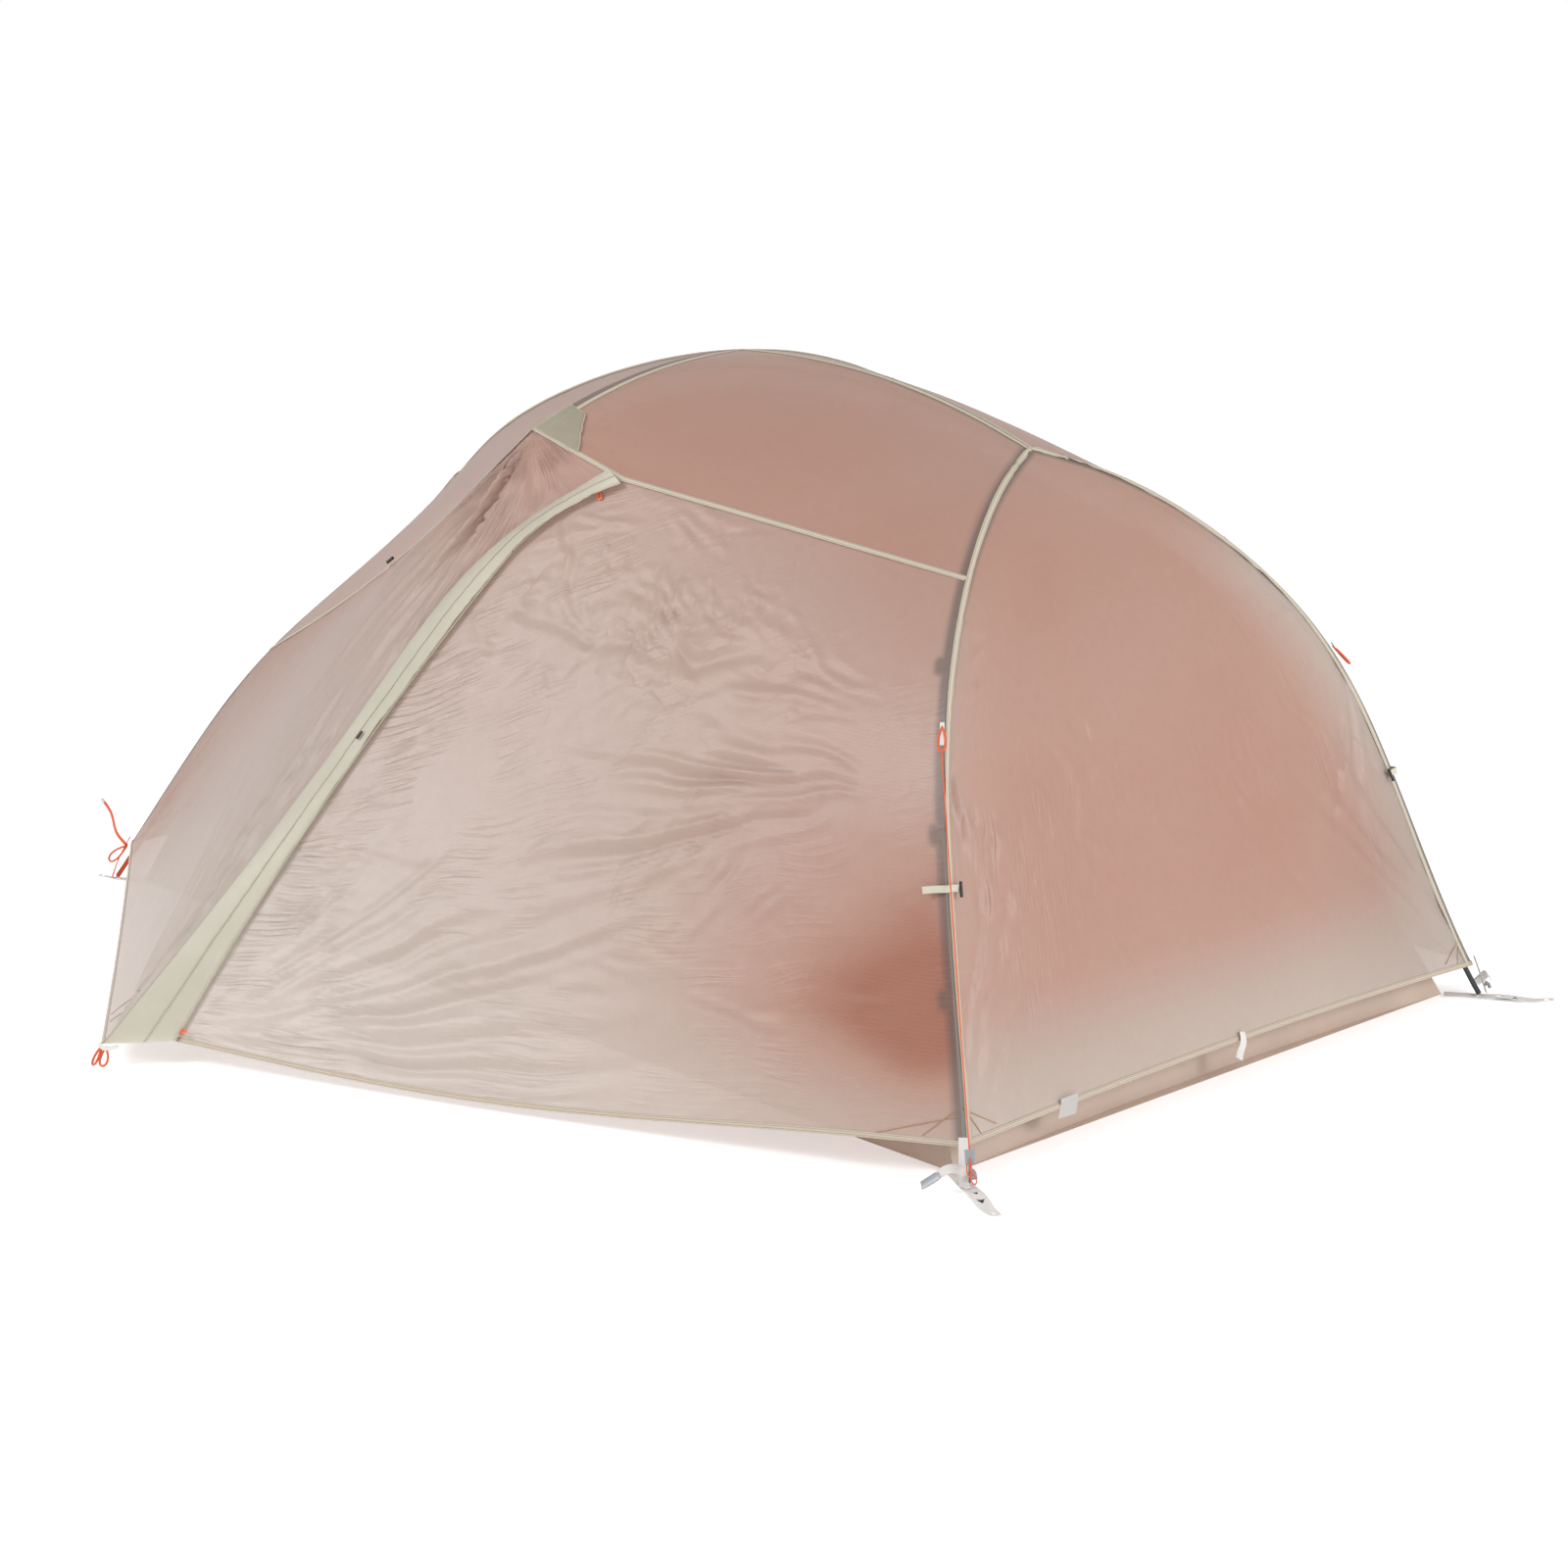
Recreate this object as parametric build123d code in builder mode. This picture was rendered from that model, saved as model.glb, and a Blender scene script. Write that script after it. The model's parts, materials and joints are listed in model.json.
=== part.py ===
"""Two-person, two-door hiking tent on a hubbed pole frame, pitched with its rainfly on.

Millimetres. +X points to the head end, -Y is the front side, +Z is up, and the origin is the centre of
the floor's underside. A single ridge pole runs from a head hub to a foot hub. Two leg poles leave each
hub for the corners, and a separate brow pole crosses the ridge and spreads the tops of both doors. The
inner tent hangs under the poles from clips. The rainfly lies over the poles and forms a vestibule with
a zipped door on each side. The front side is modelled, and the rear side is its mirror image.
"""

import os

from build123d import *

# ---- driving dimensions ------------------------------------------------------------------------------
TIP_X = 1205  # pole tips, from the middle of the floor
HEAD_TIP_Y, FOOT_TIP_Y = 688, 558
TIP_Z = 8
HEAD_HUB = Vector(715, 0, 970)
FOOT_HUB = Vector(-750, 0, 815)
BROW_X, BROW_Y = 40, 478  # brow pole's place along the ridge, and its half span
BROW_TOP, BROW_END = 1096, 992
RIDGE_TOP = 1082  # ridge pole where the brow pole crosses it

POLE_R, POLE_BORE = 4.5, 3.5
SPIGOT_R, SPIGOT_BORE, SPIGOT_HALF = 3.2, 1.8, 30
CORD_R = 1.2
SECTION_GAP = 0.5
HUB_R, SOCKET_R, SOCKET_BORE = 10, 7, 4.7
SOCKET_SEAT, SOCKET_REACH = 11, 30

FABRIC = 1.2  # stand-in thickness of every cloth panel
FLY_OFF = 16  # rainfly outside the pole centrelines
INNER_OFF = -55  # inner tent inside them
SEAM = 0.006  # share of a panel left open at each seam

FLOOR_X, FLOOR_HEAD_Y, FLOOR_FOOT_Y = 1150, 655, 530
TUB_HEIGHT = 150
TUB_LEAN = 0.93  # size of the tub's rim against the floor
TUB_GAP = 2

ZIP_TOP = Vector(230, -460, 930)
ZIP_SHOULDER = Vector(85, -580, 808)
ZIP_MIDDLE = Vector(-40, -820, 475)
ZIP_FOOT = Vector(-95, -1165, 40)
APEX = Vector(-157, -1265, 40)  # the vestibule's staked corner
ZIP_HALF, COIL_R = 2.2, 1.2  # coil centres from the zip's middle line
ZIP_START, ZIP_END = 26, 6  # coils start this far below the top, and stop this far above the hem
SLIDER_LENGTH, PULL_LENGTH, PULL_LIFT = 12, 24, 2.4
UPPER_SHARE = 0.19  # share of the zip above its shoulder
FLAP_SHOULDER = Vector(15, -568, 786)
FLAP_MIDDLE = Vector(-91, -790, 512)
FLAP_LIFT = 10  # the rain flap stands this far outside the zip
ZIP_BEND = Vector(143, -518, 878)
HEM_MIDDLE, HEM_NEAR = Vector(445, -962, 16), Vector(1062, -732, 56)
VESTIBULE_HEM_MIDDLE = Vector(-667, -899, 54)
SEAM_SAG = Vector(-415, -440, 722)  # the foot-side roof seam hangs through this point

DOOR_HINGE, DOOR_END = 0.375, 0.635  # inner doorway's sides, as shares of the side wall's length
DOOR_TOP, DOOR_SILL = 0.16, 0.955  # and its top and sill, as shares of the wall's height
CUT = 0.0015  # half of the gap around the inner door, as a share of the wall's length

WEBBING, WEB_THICK = 15, 1.5
STAKE_HOLE_R, TIP_HOLE_R = 5, 6
RING_R, RING_BAND = 10, 3
GUY_CORD_R = 1.1

ORIGIN = Vector(0, 0, 0)
UP = Vector(0, 0, 1)
DOME = Vector(1.3, 0.75, 1.1)  # proportions of the ellipsoid that the tent's skin follows

os.makedirs("parts", exist_ok=True)


# ---- helpers -----------------------------------------------------------------------------------------
def save(piece, label):
    """Labels a finished piece and writes it as its own node."""
    piece.part.label = label
    export_step(piece.part, f"parts/{label}.step")


def save_rear(piece, label):
    """Writes the mirror image of a front piece as its own node."""
    with BuildPart() as rear:
        mirror(piece.part, about=Plane.XZ)
    save(rear, label)


def outward(point):
    """Direction away from the tent at a point of its skin."""
    return Vector(point.X / DOME.X**2, point.Y / DOME.Y**2, point.Z / DOME.Z**2).normalized()


def swell(point, distance):
    """A point of the pole frame moved off the frame, outwards when distance is positive."""
    return point + outward(point) * distance


def flip(point):
    """The same point on the rear side."""
    return Vector(point.X, -point.Y, point.Z)


def curve(*points):
    """Smooth edge through the points."""
    return Edge.make_spline([Vector(p) for p in points])


def line(start, end):
    """Straight edge."""
    return Edge.make_line(start, end)


def between(edge, start, end):
    """The stretch of an edge from one share of its length to another, as a function of 0 to 1."""
    return lambda t: edge @ (start + (end - start) * t)


def joined(first, second, share):
    """Two stretches end to end, the first taking this share of the way."""
    return lambda t: first(t / share) if t < share else second((t - share) / (1 - share))


def lifted(path, distance):
    """A stretch moved off the frame."""
    return lambda t: swell(path(t), distance)


def stretched(top, bottom, left, right):
    """Cloth stretched between four edges, as a function of two shares. top and bottom run left to
    right as seen from outside, and left and right run downwards."""

    def spot(u, v):
        across = top(u) * (1 - v) + bottom(u) * v
        down = left(v) * (1 - u) + right(v) * u
        corners = (top(0) * (1 - u) + top(1) * u) * (1 - v) + (bottom(0) * (1 - u) + bottom(1) * u) * v
        return across + down - corners

    return spot


def patch(top, bottom, left, right, rows=9, columns=9, seams=(SEAM, SEAM, SEAM, SEAM)):
    """Grid of points on stretched cloth. seams are the shares left open at the four edges."""
    spot = stretched(top, bottom, left, right)
    gap_top, gap_bottom, gap_left, gap_right = seams
    us = [gap_left + (1 - gap_left - gap_right) * i / (columns - 1) for i in range(columns)]
    vs = [gap_top + (1 - gap_top - gap_bottom) * i / (rows - 1) for i in range(rows)]
    return [[spot(u, v) for u in us] for v in vs]


def raised(grid, distance):
    """The grid moved along its own normals, away from the tent."""
    rows, columns = len(grid), len(grid[0])
    moved = []
    for r in range(rows):
        line_of_points = []
        for c in range(columns):
            across = grid[r][min(c + 1, columns - 1)] - grid[r][max(c - 1, 0)]
            down = grid[min(r + 1, rows - 1)][c] - grid[max(r - 1, 0)][c]
            normal = down.cross(across).normalized()
            if normal.dot(outward(grid[r][c])) < 0:
                normal = normal * -1
            line_of_points.append(grid[r][c] + normal * distance)
        moved.append(line_of_points)
    return moved


def cloth(grid, lift=0.0):
    """A closed sheet of fabric on a grid of points, with its inner side raised by lift."""
    inner = Face.make_surface_from_array_of_points(raised(grid, lift), tol=0.1)
    outer = Face.make_surface_from_array_of_points(raised(grid, lift + FABRIC), tol=0.1)
    faces = [inner, outer]
    for edge in inner.edges():
        partner = min(outer.edges(), key=lambda e: (e @ 0.5 - edge @ 0.5).length)
        faces.append(Face.make_surface_from_curves(edge, partner))
    with BuildPart() as sheet:
        add(Solid(Shell(faces)))
    return sheet


def rod(path, start, end, radius, bore=0.0):
    """Round rod or tube along part of a path. start and end are lengths from the path's beginning."""
    run = path.trim(start / path.length, end / path.length)
    with BuildPart() as piece:
        with BuildSketch(Plane(origin=run @ 0, z_dir=run % 0)):
            Circle(radius)
            if bore:
                Circle(bore, mode=Mode.SUBTRACT)
        sweep(path=run)
    return piece


# ---- pole centrelines --------------------------------------------------------------------------------
head_leg = curve(
    HEAD_HUB, (858, -305, 825), (985, -503, 600), (1060, -577, 400), (TIP_X, -HEAD_TIP_Y, TIP_Z)
)
foot_leg = curve(
    FOOT_HUB, (-835, -200, 622), (-918, -352, 478), (-1042, -460, 275), (-TIP_X, -FOOT_TIP_Y, TIP_Z)
)
ridge = curve(
    HEAD_HUB, (300, 0, 1074), (BROW_X, 0, RIDGE_TOP), (-370, 0, 1010), (-600, 0, 920), FOOT_HUB
)
brow = curve((BROW_X, -BROW_Y, BROW_END), (BROW_X, 0, BROW_TOP), (BROW_X, BROW_Y, BROW_END))

HEAD_JOIN, FOOT_JOIN = 0.295, 0.46  # where the roof seams meet the leg poles
HEM_SHARE, FOOT_HEM = 0.955, 0.918  # how far down the head and foot legs the rainfly's hem sits
BROW_CROSS = ridge.param_at_point(Vector(BROW_X, 0, RIDGE_TOP))  # share of the ridge at the brow pole


# ---- pole frame --------------------------------------------------------------------------------------
def pole_run(path, sections, seated_end):
    """Tube sections of one pole, clear of the hubs, and the spigots that join them."""
    start = SOCKET_SEAT + 1
    end = path.length - (start if seated_end else 0)
    pitch = (end - start) / sections
    tubes, spigots = [], []
    for i in range(sections):
        low = start + i * pitch + SECTION_GAP
        tubes.append(rod(path, low, start + (i + 1) * pitch, POLE_R, POLE_BORE).part)
        if i:
            joint = start + i * pitch
            spigots.append(rod(path, joint - SPIGOT_HALF, joint + SPIGOT_HALF, SPIGOT_R, SPIGOT_BORE).part)
    cord = rod(path, start + 2, end - 4, CORD_R).part
    return tubes, spigots, cord


def gather(solids, label):
    """One node of separate solids."""
    with BuildPart() as group:
        add(solids)
    save(group, label)


def with_rear(solids):
    """Front solids and their mirror images."""
    return solids + [mirror(s, about=Plane.XZ) for s in solids]


ridge_tubes, ridge_spigots, ridge_cord = pole_run(ridge, 4, True)
head_tubes, head_spigots, head_cord = pole_run(head_leg, 3, False)
foot_tubes, foot_spigots, foot_cord = pole_run(foot_leg, 3, False)
brow_tubes = [
    rod(brow, share * brow.length / 3 + SECTION_GAP, (share + 1) * brow.length / 3, POLE_R, POLE_BORE).part
    for share in range(3)
]
brow_spigots = [
    rod(brow, joint - SPIGOT_HALF, joint + SPIGOT_HALF, SPIGOT_R, SPIGOT_BORE).part
    for joint in (brow.length / 3, brow.length * 2 / 3)
]
brow_cord = rod(brow, 4, brow.length - 4, CORD_R).part

gather(ridge_tubes, "ridge_pole")
gather(with_rear(head_tubes), "head_leg_poles")
gather(with_rear(foot_tubes), "foot_leg_poles")
gather(brow_tubes, "brow_pole")
gather(ridge_spigots + brow_spigots + with_rear(head_spigots + foot_spigots), "pole_spigots")
gather([ridge_cord, brow_cord] + with_rear([head_cord, foot_cord]), "shock_cords")


def hub(centre, sockets, bores):
    """Moulded hub: a ball with a hollow socket for each pole that meets in it."""
    with BuildPart() as piece:
        with Locations(centre):
            Sphere(HUB_R)
        add(sockets)
        add(bores, mode=Mode.SUBTRACT)
    return piece


def arms(leg, ridge_start, start, end, radius):
    """The same stretch of both legs and of the ridge pole. ridge_start tells which end of the ridge."""
    low, high = (start, end) if ridge_start else (ridge.length - end, ridge.length - start)
    return with_rear([rod(leg, start, end, radius).part]) + [rod(ridge, low, high, radius).part]


for label, centre, leg, at_start in (
    ("head_hub", HEAD_HUB, head_leg, True),
    ("foot_hub", FOOT_HUB, foot_leg, False),
):
    sockets = arms(leg, at_start, 0, SOCKET_REACH, SOCKET_R)
    bores = arms(leg, at_start, SOCKET_SEAT, SOCKET_REACH + 1, SOCKET_BORE)
    save(hub(centre, sockets, bores), label)

# The brow clip holds the brow pole on top of the ridge pole: a saddle with a channel for each.
ridge_at_brow = ridge @ BROW_CROSS
with BuildPart() as brow_clip:
    with Locations((BROW_X, 0, (BROW_TOP + ridge_at_brow.Z) / 2)):
        Box(26, 26, 26)
    fillet(brow_clip.edges().filter_by(Axis.Z), 6)
    with BuildSketch(Plane(origin=(BROW_X, -20, BROW_TOP), z_dir=(0, 1, 0))):
        Circle(POLE_R + 0.5)
        with Locations((0, 10)):
            Rectangle(2 * POLE_R + 0.4, 20)
    extrude(amount=40, mode=Mode.SUBTRACT)
    with BuildSketch(Plane(origin=ridge_at_brow - (ridge % BROW_CROSS) * 20, z_dir=ridge % BROW_CROSS)):
        Circle(POLE_R + 0.6)
    extrude(amount=40, mode=Mode.SUBTRACT)
save(brow_clip, "brow_clip")


def tip(path, end):
    """Turned pole tip: a plug inside the tube, a collar and a nose that points along the pole."""
    outward_end = (path % end) * (1 if end else -1)
    with BuildPart() as piece:
        with BuildSketch(Plane(origin=path @ end - outward_end * 3, z_dir=outward_end)):
            Circle(POLE_BORE - 0.2)
        extrude(amount=3.2)
        with BuildSketch(Plane(origin=path @ end + outward_end * 0.1, z_dir=outward_end)):
            Circle(3.2)
        extrude(amount=5, taper=12)
    return piece.part


gather(with_rear([tip(head_leg, 1), tip(foot_leg, 1)]) + [tip(brow, 0), tip(brow, 1)], "pole_tips")


def pole_clip(path, share):
    """Plastic clip: an open ring snapped on the pole and an arm that reaches in to the inner tent."""
    centre, along = path @ share, path % share
    away = outward(centre)
    away = (away - along * away.dot(along)).normalized()
    plane = Plane(origin=centre - along * 5, x_dir=away, z_dir=along)
    with BuildPart() as piece:
        with BuildSketch(plane):
            Circle(7.2)
            with Locations((-24, 0)):
                Rectangle(34, 3)
            with Locations((-41, 0)):
                Rectangle(3, 12)
            Circle(POLE_R + 0.4, mode=Mode.SUBTRACT)
            with Locations((8, 0)):
                Rectangle(12, 6, mode=Mode.SUBTRACT)
        extrude(amount=10)
    return piece.part


leg_clips = [pole_clip(head_leg, s) for s in (0.16, 0.42, 0.62, 0.8)]
leg_clips += [pole_clip(foot_leg, s) for s in (0.2, 0.46, 0.72)]
gather(with_rear(leg_clips), "leg_clips")
gather([pole_clip(ridge, s) for s in (0.2, 0.7, 0.82)], "ridge_clips")

# ---- inner tent --------------------------------------------------------------------------------------
floor_corners = [
    Vector(FLOOR_X, -FLOOR_HEAD_Y, 0),
    Vector(FLOOR_X, FLOOR_HEAD_Y, 0),
    Vector(-FLOOR_X, FLOOR_FOOT_Y, 0),
    Vector(-FLOOR_X, -FLOOR_FOOT_Y, 0),
]
with BuildPart() as floor_sheet:
    with BuildSketch():
        Polygon(*[(c.X, c.Y) for c in floor_corners], align=None)
    extrude(amount=FABRIC)
save(floor_sheet, "floor_sheet")


def rim(corner):
    """Top of the tub wall above a floor corner."""
    return Vector(corner.X * TUB_LEAN, corner.Y * TUB_LEAN, TUB_HEIGHT)


def tub_wall(start, end):
    """One flat wall of the bathtub floor, leaning in, with room left at its corners."""
    inset = (end - start).normalized() * 8
    base = UP * (FABRIC + TUB_GAP)
    low, high = [start + base + inset, end + base - inset], [rim(end) - inset, rim(start) + inset]
    outline = Wire.make_polygon(low + high)
    face = Face(outline)
    with BuildPart() as wall:
        extrude(face, amount=FABRIC, dir=face.normal_at())
    return wall.part


gather([tub_wall(floor_corners[i], floor_corners[(i + 1) % 4]) for i in range(4)], "tub_walls")

rim_head, rim_foot = rim(floor_corners[0]) + UP * 4, rim(floor_corners[3]) + UP * 4
inner_head_top = swell(head_leg @ HEAD_JOIN, INNER_OFF)
inner_foot_top = swell(foot_leg @ FOOT_JOIN, INNER_OFF)
inner_brow = swell(brow @ 0, INNER_OFF)
inner_ridge = curve(*[swell(ridge @ s, INNER_OFF) for s in (0, 0.3, BROW_CROSS, 0.75, 1)])
inner_head_side = curve(inner_head_top, swell(head_leg @ 0.62, INNER_OFF), rim_head)
inner_foot_side = curve(inner_foot_top, swell(foot_leg @ 0.7, INNER_OFF), rim_foot)
inner_head_leg = curve(inner_ridge @ 0, swell(head_leg @ 0.15, INNER_OFF), inner_head_top)
inner_foot_leg = curve(inner_ridge @ 1, swell(foot_leg @ 0.23, INNER_OFF), inner_foot_top)
inner_brow_line = curve(*[swell(brow @ s, INNER_OFF) for s in (0.5, 0.25, 0)])


def mirrored(path):
    """The same stretch on the rear side."""
    return lambda t: flip(path(t))


def bottom_of(path):
    """Straight stretch between the lower ends of a side edge and its mirror image."""
    return between(line(flip(path(1)), path(1)), 0, 1)


def point_of(path):
    """The upper end of a side edge, where a panel runs out to a point."""
    return lambda t: path(0)


head_side = joined(between(inner_head_leg, 0, 1), between(inner_head_side, 0, 1), 0.36)
foot_side = joined(between(inner_foot_leg, 0, 1), between(inner_foot_side, 0, 1), 0.5)
inner_head_wall = patch(
    point_of(head_side), bottom_of(head_side), mirrored(head_side), head_side, seams=(0.06, SEAM, 0.02, 0.02)
)
inner_foot_wall = patch(
    point_of(foot_side), bottom_of(foot_side), mirrored(foot_side), foot_side, seams=(0.06, SEAM, 0.02, 0.02)
)
save(cloth(inner_head_wall), "inner_head_wall")
save(cloth(inner_foot_wall), "inner_foot_wall")

inner_head_roof = patch(
    between(inner_ridge, BROW_CROSS, 0),
    between(line(inner_brow, inner_head_top), 0, 1),
    between(inner_brow_line, 0, 1),
    between(inner_head_leg, 0, 1),
)
inner_foot_roof = patch(
    between(inner_ridge, 1, BROW_CROSS),
    between(line(inner_foot_top, inner_brow), 0, 1),
    between(inner_foot_leg, 0, 1),
    between(inner_brow_line, 0, 1),
)
gather(with_rear([cloth(inner_head_roof).part, cloth(inner_foot_roof).part]), "inner_roof")

inner_side = stretched(
    joined(between(line(inner_foot_top, inner_brow), 0, 1), between(line(inner_brow, inner_head_top), 0, 1), 0.5),
    between(line(rim_foot, rim_head), 0, 1),
    between(inner_foot_side, 0, 1),
    between(inner_head_side, 0, 1),
)


def arch(share):
    """Upper edge of the D-shaped doorway, from its hinge side to its opening side."""
    return DOOR_TOP + (DOOR_SILL - DOOR_TOP) * 0.75 * share**3


def side_cloth(start, end, top, bottom, rows=7, columns=9):
    """Part of the inner side wall between two shares of its length, and between two edges across it."""
    grid = []
    for r in range(rows):
        cells = []
        for c in range(columns):
            share = c / (columns - 1)
            high, low = top(share), bottom(share)
            cells.append(inner_side(start + (end - start) * share, high + (low - high) * r / (rows - 1)))
        grid.append(cells)
    return cloth(grid)


wall_panels = [
    side_cloth(SEAM, DOOR_HINGE - CUT, lambda s: SEAM, lambda s: 1 - SEAM),
    side_cloth(DOOR_END + CUT, 1 - SEAM, lambda s: SEAM, lambda s: 1 - SEAM),
    side_cloth(DOOR_HINGE, DOOR_END, lambda s: SEAM, lambda s: arch(s) - CUT * 2),
    side_cloth(DOOR_HINGE, DOOR_END, lambda s: DOOR_SILL + CUT * 2, lambda s: 1 - SEAM, 3),
]
with BuildPart() as inner_wall:
    add([panel.part for panel in wall_panels])
save(inner_wall, "inner_front_wall")
save_rear(inner_wall, "inner_rear_wall")
inner_door = side_cloth(
    DOOR_HINGE + CUT, DOOR_END - CUT, lambda s: arch(s) + CUT * 2, lambda s: DOOR_SILL - CUT * 2
)
save(inner_door, "inner_front_door")
save_rear(inner_door, "inner_rear_door")


# ---- rainfly -----------------------------------------------------------------------------------------
def fly(path, start, end):
    """A stretch of a pole's line moved out to the rainfly."""
    return lifted(between(path, start, end), FLY_OFF)


head_join = swell(head_leg @ HEAD_JOIN, FLY_OFF)
foot_join = swell(foot_leg @ FOOT_JOIN, FLY_OFF)
head_corner = swell(head_leg @ HEM_SHARE, FLY_OFF)
foot_corner = swell(foot_leg @ FOOT_HEM, FLY_OFF)
brow_end = swell(brow @ 0, FLY_OFF)

foot_seam = curve(foot_join, SEAM_SAG, brow_end)
door_seam = line(brow_end, ZIP_TOP)
quarter_seam = line(ZIP_TOP, head_join)
upper_zip = Edge.make_three_point_arc(ZIP_TOP, ZIP_BEND, ZIP_SHOULDER)
lower_zip = Edge.make_three_point_arc(ZIP_SHOULDER, ZIP_MIDDLE, ZIP_FOOT)
zip_line = joined(between(upper_zip, 0, 1), between(lower_zip, 0, 1), UPPER_SHARE)
flap_line = curve(ZIP_TOP, FLAP_SHOULDER, FLAP_MIDDLE, APEX)
fold_line = line(ZIP_TOP, head_corner)
vestibule_hem = curve(foot_corner, VESTIBULE_HEM_MIDDLE, APEX)
apex_hem = line(APEX, ZIP_FOOT)

head_roof = patch(
    fly(ridge, BROW_CROSS, 0),
    joined(between(door_seam, 0, 1), between(quarter_seam, 0, 1), 0.24),
    fly(brow, 0.5, 0),
    fly(head_leg, 0, HEAD_JOIN),
)
foot_roof = patch(
    fly(ridge, 1, BROW_CROSS), between(foot_seam, 0, 1), fly(foot_leg, 0, FOOT_JOIN), fly(brow, 0.5, 0)
)
for name, face in (("head_roof", head_roof), ("foot_roof", foot_roof)):
    panel = cloth(face)
    save(panel, f"fly_front_{name}")
    save_rear(panel, f"fly_rear_{name}")

head_edge, foot_edge = fly(head_leg, 0, HEM_SHARE), fly(foot_leg, 0, FOOT_HEM)


def bowed(path, rise, tuck):
    """Hem between the lower ends of a side edge and its mirror image, cut up and in towards its middle."""
    start, end = flip(path(1)), path(1)
    middle = (start + end) * 0.5 + UP * rise - Vector(tuck, 0, 0)
    return between(curve(start, middle, end), 0, 1)


end_seams = (0.05, SEAM, 0.012, 0.012)
head_hem, foot_hem = bowed(head_edge, 8, 6), bowed(foot_edge, 8, -6)
fly_head = patch(point_of(head_edge), head_hem, mirrored(head_edge), head_edge, seams=end_seams)
fly_foot = patch(point_of(foot_edge), foot_hem, mirrored(foot_edge), foot_edge, seams=end_seams)
save(cloth(fly_head), "fly_head_panel")
save(cloth(fly_foot), "fly_foot_panel")

FRONT_PANELS = {
    "quarter": patch(
        between(quarter_seam, 0, 1),
        lambda t: head_corner,
        between(fold_line, 0, 1),
        fly(head_leg, HEAD_JOIN, HEM_SHARE),
        seams=(0.012, 0.08, 0.012, 0.03),
    ),
    "vestibule": patch(
        joined(between(foot_seam, 0, 1), between(door_seam, 0, 1), 0.8),
        between(vestibule_hem, 0, 1),
        fly(foot_leg, FOOT_JOIN, FOOT_HEM),
        between(flap_line, 0, 1),
        columns=15,
    ),
}
for name, face in FRONT_PANELS.items():
    panel = cloth(face)
    save(panel, f"fly_front_{name}")
    save_rear(panel, f"fly_rear_{name}")


def beside_zip(start, low, left, right, lift=0.0):
    """Strip of cloth between the flap line and the zip, with these shares left open at its edges."""
    edges = (lambda t: ZIP_TOP, between(apex_hem, 0, 1), between(flap_line, 0, 1), zip_line)
    return cloth(patch(*edges, rows=13, columns=5, seams=(start, low, left, right)), lift).part


gather(with_rear([beside_zip(0.1, 0.012, 0.08, 0.16)]), "zip_bands")
gather(with_rear([beside_zip(0.07, 0.02, 0.06, 0.03, FLAP_LIFT)]), "rain_flaps")


def door_edge(t):
    """The door's edge, just inside its coil."""
    arc = upper_zip if t < UPPER_SHARE else lower_zip
    return zip_line(t) + (arc.arc_center - zip_line(t)).normalized() * (ZIP_HALF + COIL_R + 3)


door_hem = curve(door_edge(1), HEM_MIDDLE, HEM_NEAR, head_corner)
door = cloth(
    patch(
        between(line(door_edge(0), ZIP_TOP), 0, 1),
        between(door_hem, 0, 1),
        door_edge,
        between(fold_line, 0, 1),
        rows=13,
        columns=11,
        seams=(0.06, 0.004, 0, 0.006),
    )
)
save(door, "front_door")
save_rear(door, "rear_door")


# ---- zips --------------------------------------------------------------------------------------------
def beside(arc, offset):
    """The arc moved sideways in its own plane, towards its centre when offset is positive."""
    return Edge.make_three_point_arc(
        *[arc @ share + (arc.arc_center - arc @ share).normalized() * offset for share in (0, 0.5, 1)]
    )


def coils(offset):
    """One side's coil, in the two arcs that the zip follows."""
    upper, lower = beside(upper_zip, offset), beside(lower_zip, offset)
    return [
        rod(upper, ZIP_START, upper.length - 1, COIL_R).part,
        rod(lower, 1, lower.length - ZIP_END, COIL_R).part,
    ]


def slider(arc, share):
    """Zip slider wrapped round the door's coil, with a cord pull lying over the door."""
    spot, along = arc @ share, arc % share
    inward = (arc.arc_center - spot).normalized()
    over = inward.cross(along)
    if over.dot(outward(spot)) < 0:
        over = over * -1
    plane = Plane(origin=spot, x_dir=inward, z_dir=over)
    with BuildPart() as piece:
        with BuildSketch(plane.offset(-2.4)):
            with Locations((2.4, 0)):
                RectangleRounded(4, SLIDER_LENGTH, 1)
        extrude(amount=2.4 + PULL_LIFT)
        with BuildSketch(plane.offset(-1.6)):
            with Locations((1.6, 0)):
                Rectangle(4.6, SLIDER_LENGTH + 2)
        extrude(amount=3.2, mode=Mode.SUBTRACT)
        with BuildSketch(plane.offset(PULL_LIFT)):
            with Locations((PULL_LENGTH / 2 + 1, 0)):
                SlotOverall(PULL_LENGTH, 8)
                SlotOverall(PULL_LENGTH - 5, 3.4, mode=Mode.SUBTRACT)
        extrude(amount=1.8)
    return piece


gather(with_rear(coils(-ZIP_HALF)), "fixed_zip_coils")
with BuildPart() as door_coil:
    add(coils(ZIP_HALF))
save(door_coil, "front_door_coil")
save_rear(door_coil, "rear_door_coil")
for name, arc, share in (("upper", upper_zip, 0.2), ("lower", lower_zip, 0.985)):
    piece = slider(arc, share)
    save(piece, f"front_{name}_slider")
    save_rear(piece, f"rear_{name}_slider")


# ---- webbing, cord and small fittings ----------------------------------------------------------------
def strap(start, end, width, side, thickness=WEB_THICK):
    """Flat webbing from start to end. side is the direction of its width."""
    run = end - start
    across = side - run.normalized() * side.dot(run.normalized())
    with BuildPart() as piece:
        with BuildSketch(Plane(origin=start, x_dir=across, z_dir=run)):
            Rectangle(width, thickness)
        extrude(amount=run.length)
    return piece.part


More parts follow.
